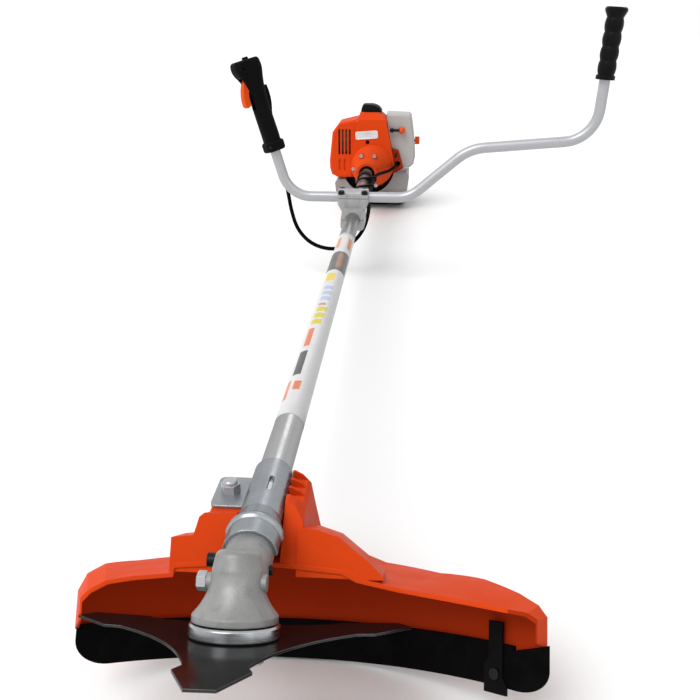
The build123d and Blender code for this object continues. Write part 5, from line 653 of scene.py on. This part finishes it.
# Film round the tube: white, with plain blocks of colour on its upper side
FILM_START = 235.0
FILM_END = 895.0
FILM_INNER_R = 13.03
FILM_OUTER_R = 13.2
FILM_WRAP = math.radians(150.0)
FILM_STEPS = 44
FILM_ROWS = 34
FILM_YELLOW = (0.62, 0.54, 0.06)
FILM_BLUE = (0.44, 0.50, 0.68)
FILM_BLOCKS = (
    # start and end along the tube, left and right across it, in metres, and colour
    (0.268, 0.312, -0.0115, -0.0075, (0.66, 0.22, 0.13)),
    (0.286, 0.306, -0.004, 0.003, (0.66, 0.20, 0.10)),
    (0.322, 0.384, -0.0085, -0.0005, (0.10, 0.103, 0.108)),
    (0.398, 0.452, -0.0075, -0.001, (0.68, 0.20, 0.11)),
    (0.466, 0.482, -0.008, 0.004, FILM_YELLOW),
    (0.488, 0.504, -0.007, 0.005, FILM_YELLOW),
    (0.510, 0.526, -0.006, 0.006, FILM_YELLOW),
    (0.532, 0.540, -0.006, 0.003, (0.50, 0.25, 0.25)),
    (0.552, 0.566, -0.006, 0.006, FILM_BLUE),
    (0.574, 0.588, -0.006, 0.006, FILM_BLUE),
    (0.596, 0.610, -0.006, 0.006, FILM_BLUE),
    (0.634, 0.668, -0.008, 0.004, (0.72, 0.56, 0.08)),
    (0.684, 0.780, -0.013, 0.013, (0.13, 0.125, 0.12)),
    (0.698, 0.770, -0.0005, 0.0075, (0.30, 0.15, 0.10)),
    (0.798, 0.872, -0.0115, 0.012, (0.66, 0.64, 0.63)),
    (0.806, 0.866, -0.0095, -0.004, (0.66, 0.30, 0.18)),
    (0.806, 0.866, 0.0075, 0.012, (0.64, 0.24, 0.12)),
)


def printed_film(name):
    """Glossy white film, a little grimy, printed with blocks of colour."""
    m = Mat(name, Specular_IOR_Level=0.12)
    grime = m.patches(scale=55.0, detail=5.0, between=(0.45, 0.8))
    base = m.tint((0.66, 0.66, 0.67), (0.52, 0.52, 0.52), grime, share=0.3)
    station = m.along(ALONG, APEX)
    aside = m.along(RIGHT, APEX)
    for start, end, left, right, colour in FILM_BLOCKS:
        inside = m.math("GREATER_THAN", station, start)
        inside = m.math("MULTIPLY", inside, m.math("LESS_THAN", station, end))
        inside = m.math("MULTIPLY", inside, m.math("GREATER_THAN", aside, left))
        inside = m.math("MULTIPLY", inside, m.math("LESS_THAN", aside, right))
        base = m.mix(inside, base, colour)
    rough_map = m.patches(scale=40.0, detail=4.0, between=(0.3, 0.7), to=(0.28, 0.42))
    return m.finish(base, rough_map, m.noise(scale=300.0, detail=3.0), depth=0.00002)


bm = bmesh.new()
shells = []
for radius in (FILM_INNER_R, FILM_OUTER_R):
    rows = []
    for row in range(FILM_ROWS + 1):
        y = FILM_START + (FILM_END - FILM_START) * row / FILM_ROWS
        angles = [FILM_WRAP * (2 * k / FILM_STEPS - 1) for k in range(FILM_STEPS + 1)]
        rows.append([bm.verts.new(place(radius * math.sin(a), y, radius * math.cos(a))) for a in angles])
    shells.append(rows)
    for first, second in zip(rows, rows[1:]):
        bridge(bm, first, second, closed=False)
inner, outer = shells
for end in (0, -1):
    bridge(bm, inner[end], outer[end], closed=False)
    bridge(bm, [row[end] for row in inner], [row[end] for row in outer], closed=False)
piece("tube_film", bm, printed_film("tube_film"), "frame")

# Stage: a pale floor under soft studio light
FLOOR_SIZE = 14.0
FLOOR_SPOT = (0.0, -0.8, -0.0004)
FLOOR_COLOURS = ((0.93, 0.93, 0.93), (0.95, 0.95, 0.95))
floor_mat = Mat("floor", Roughness=0.9, Specular_IOR_Level=0.1)
floor_mat.set(Base_Color=floor_mat.mix(floor_mat.noise(scale=1.5, detail=3.0), *FLOOR_COLOURS))
bm = bmesh.new()
bmesh.ops.create_grid(bm, x_segments=2, y_segments=2, size=FLOOR_SIZE / 2)
floor = mesh_object("floor", bm, floor_mat.data)
floor.location = FLOOR_SPOT

# The world is plain white to the eye and in reflections; its light is a soft studio, bright on the upper left
WHITE = 1.0
STUDIO_SIDE = Vector((-0.80, 0.25, 0.55)).normalized()
STUDIO_RANGE = {"From Min": -0.45, "From Max": 0.8, "To Min": 0.04, "To Max": 0.95}
world = bpy.data.worlds.new("studio")
SCENE.world = world
world.use_nodes = True
sky = world.node_tree
background = sky.nodes["Background"]
background.inputs["Color"].default_value = (1.0, 1.0, 1.0, 1.0)
path = sky.nodes.new("ShaderNodeLightPath")
seen = path.outputs["Is Camera Ray"]
for kind in ("Is Glossy Ray", "Is Transmission Ray"):
    either = sky.nodes.new("ShaderNodeMath")
    either.operation = "MAXIMUM"
    sky.links.new(seen, either.inputs[0])
    sky.links.new(path.outputs[kind], either.inputs[1])
    seen = either.outputs[0]
facing = sky.nodes.new("ShaderNodeVectorMath")
facing.operation = "DOT_PRODUCT"
facing.inputs[1].default_value = STUDIO_SIDE
sky.links.new(sky.nodes.new("ShaderNodeTexCoord").outputs["Generated"], facing.inputs[0])
studio = sky.nodes.new("ShaderNodeMapRange")
for socket, value in STUDIO_RANGE.items():
    studio.inputs[socket].default_value = value
sky.links.new(facing.outputs["Value"], studio.inputs["Value"])
level = sky.nodes.new("ShaderNodeMapRange")
level.inputs["To Max"].default_value = WHITE
sky.links.new(seen, level.inputs["Value"])
sky.links.new(studio.outputs[0], level.inputs["To Min"])
sky.links.new(level.outputs[0], background.inputs["Strength"])


def sun(name, towards, power, spread):
    """A sun shining towards a direction, spread over an angle in degrees."""
    data = bpy.data.lights.new(name, "SUN")
    data.energy = power
    data.angle = math.radians(spread)
    made = bpy.data.objects.new(name, data)
    made.rotation_mode = "QUATERNION"
    made.rotation_quaternion = Vector(towards).to_track_quat("-Z", "Y")
    SCENE.collection.objects.link(made)


sun("key", towards=(0.36, 0.42, -0.83), power=1.75, spread=42.0)
sun("fill", towards=(-0.55, 0.62, -0.56), power=0.4, spread=60.0)
sun("rim", towards=(-0.06, -0.92, -0.38), power=0.14, spread=16.0)

# Camera at the photograph's viewing angle, with its axes in the shaft's frame
CAMERA_SPOT = place(102.0, -426.0, 338.0)
CAMERA_RIGHT = (0.9974, 0.0724, 0.0002)
CAMERA_DOWN = (0.0270, -0.3689, -0.9291)
CAMERA_AHEAD = (-0.0672, 0.9266, -0.3699)
CAMERA_LENS = 43.4
CAMERA_SENSOR = 36.0


def turn(direction):
    """A direction of the shaft's frame in the row frame."""
    x, y, z = direction
    return (RIGHT * x + ALONG * y + UP * z).normalized()


lens = bpy.data.cameras.new("camera")
lens.lens = CAMERA_LENS
lens.sensor_width = CAMERA_SENSOR
camera = bpy.data.objects.new("camera", lens)
axes = Matrix((turn(CAMERA_RIGHT), -turn(CAMERA_DOWN), -turn(CAMERA_AHEAD))).transposed().to_4x4()
camera.matrix_world = Matrix.Translation(CAMERA_SPOT) @ axes
SCENE.collection.objects.link(camera)
SCENE.camera = camera
SCENE.view_settings.view_transform = "Standard"

bpy.context.view_layer.update()
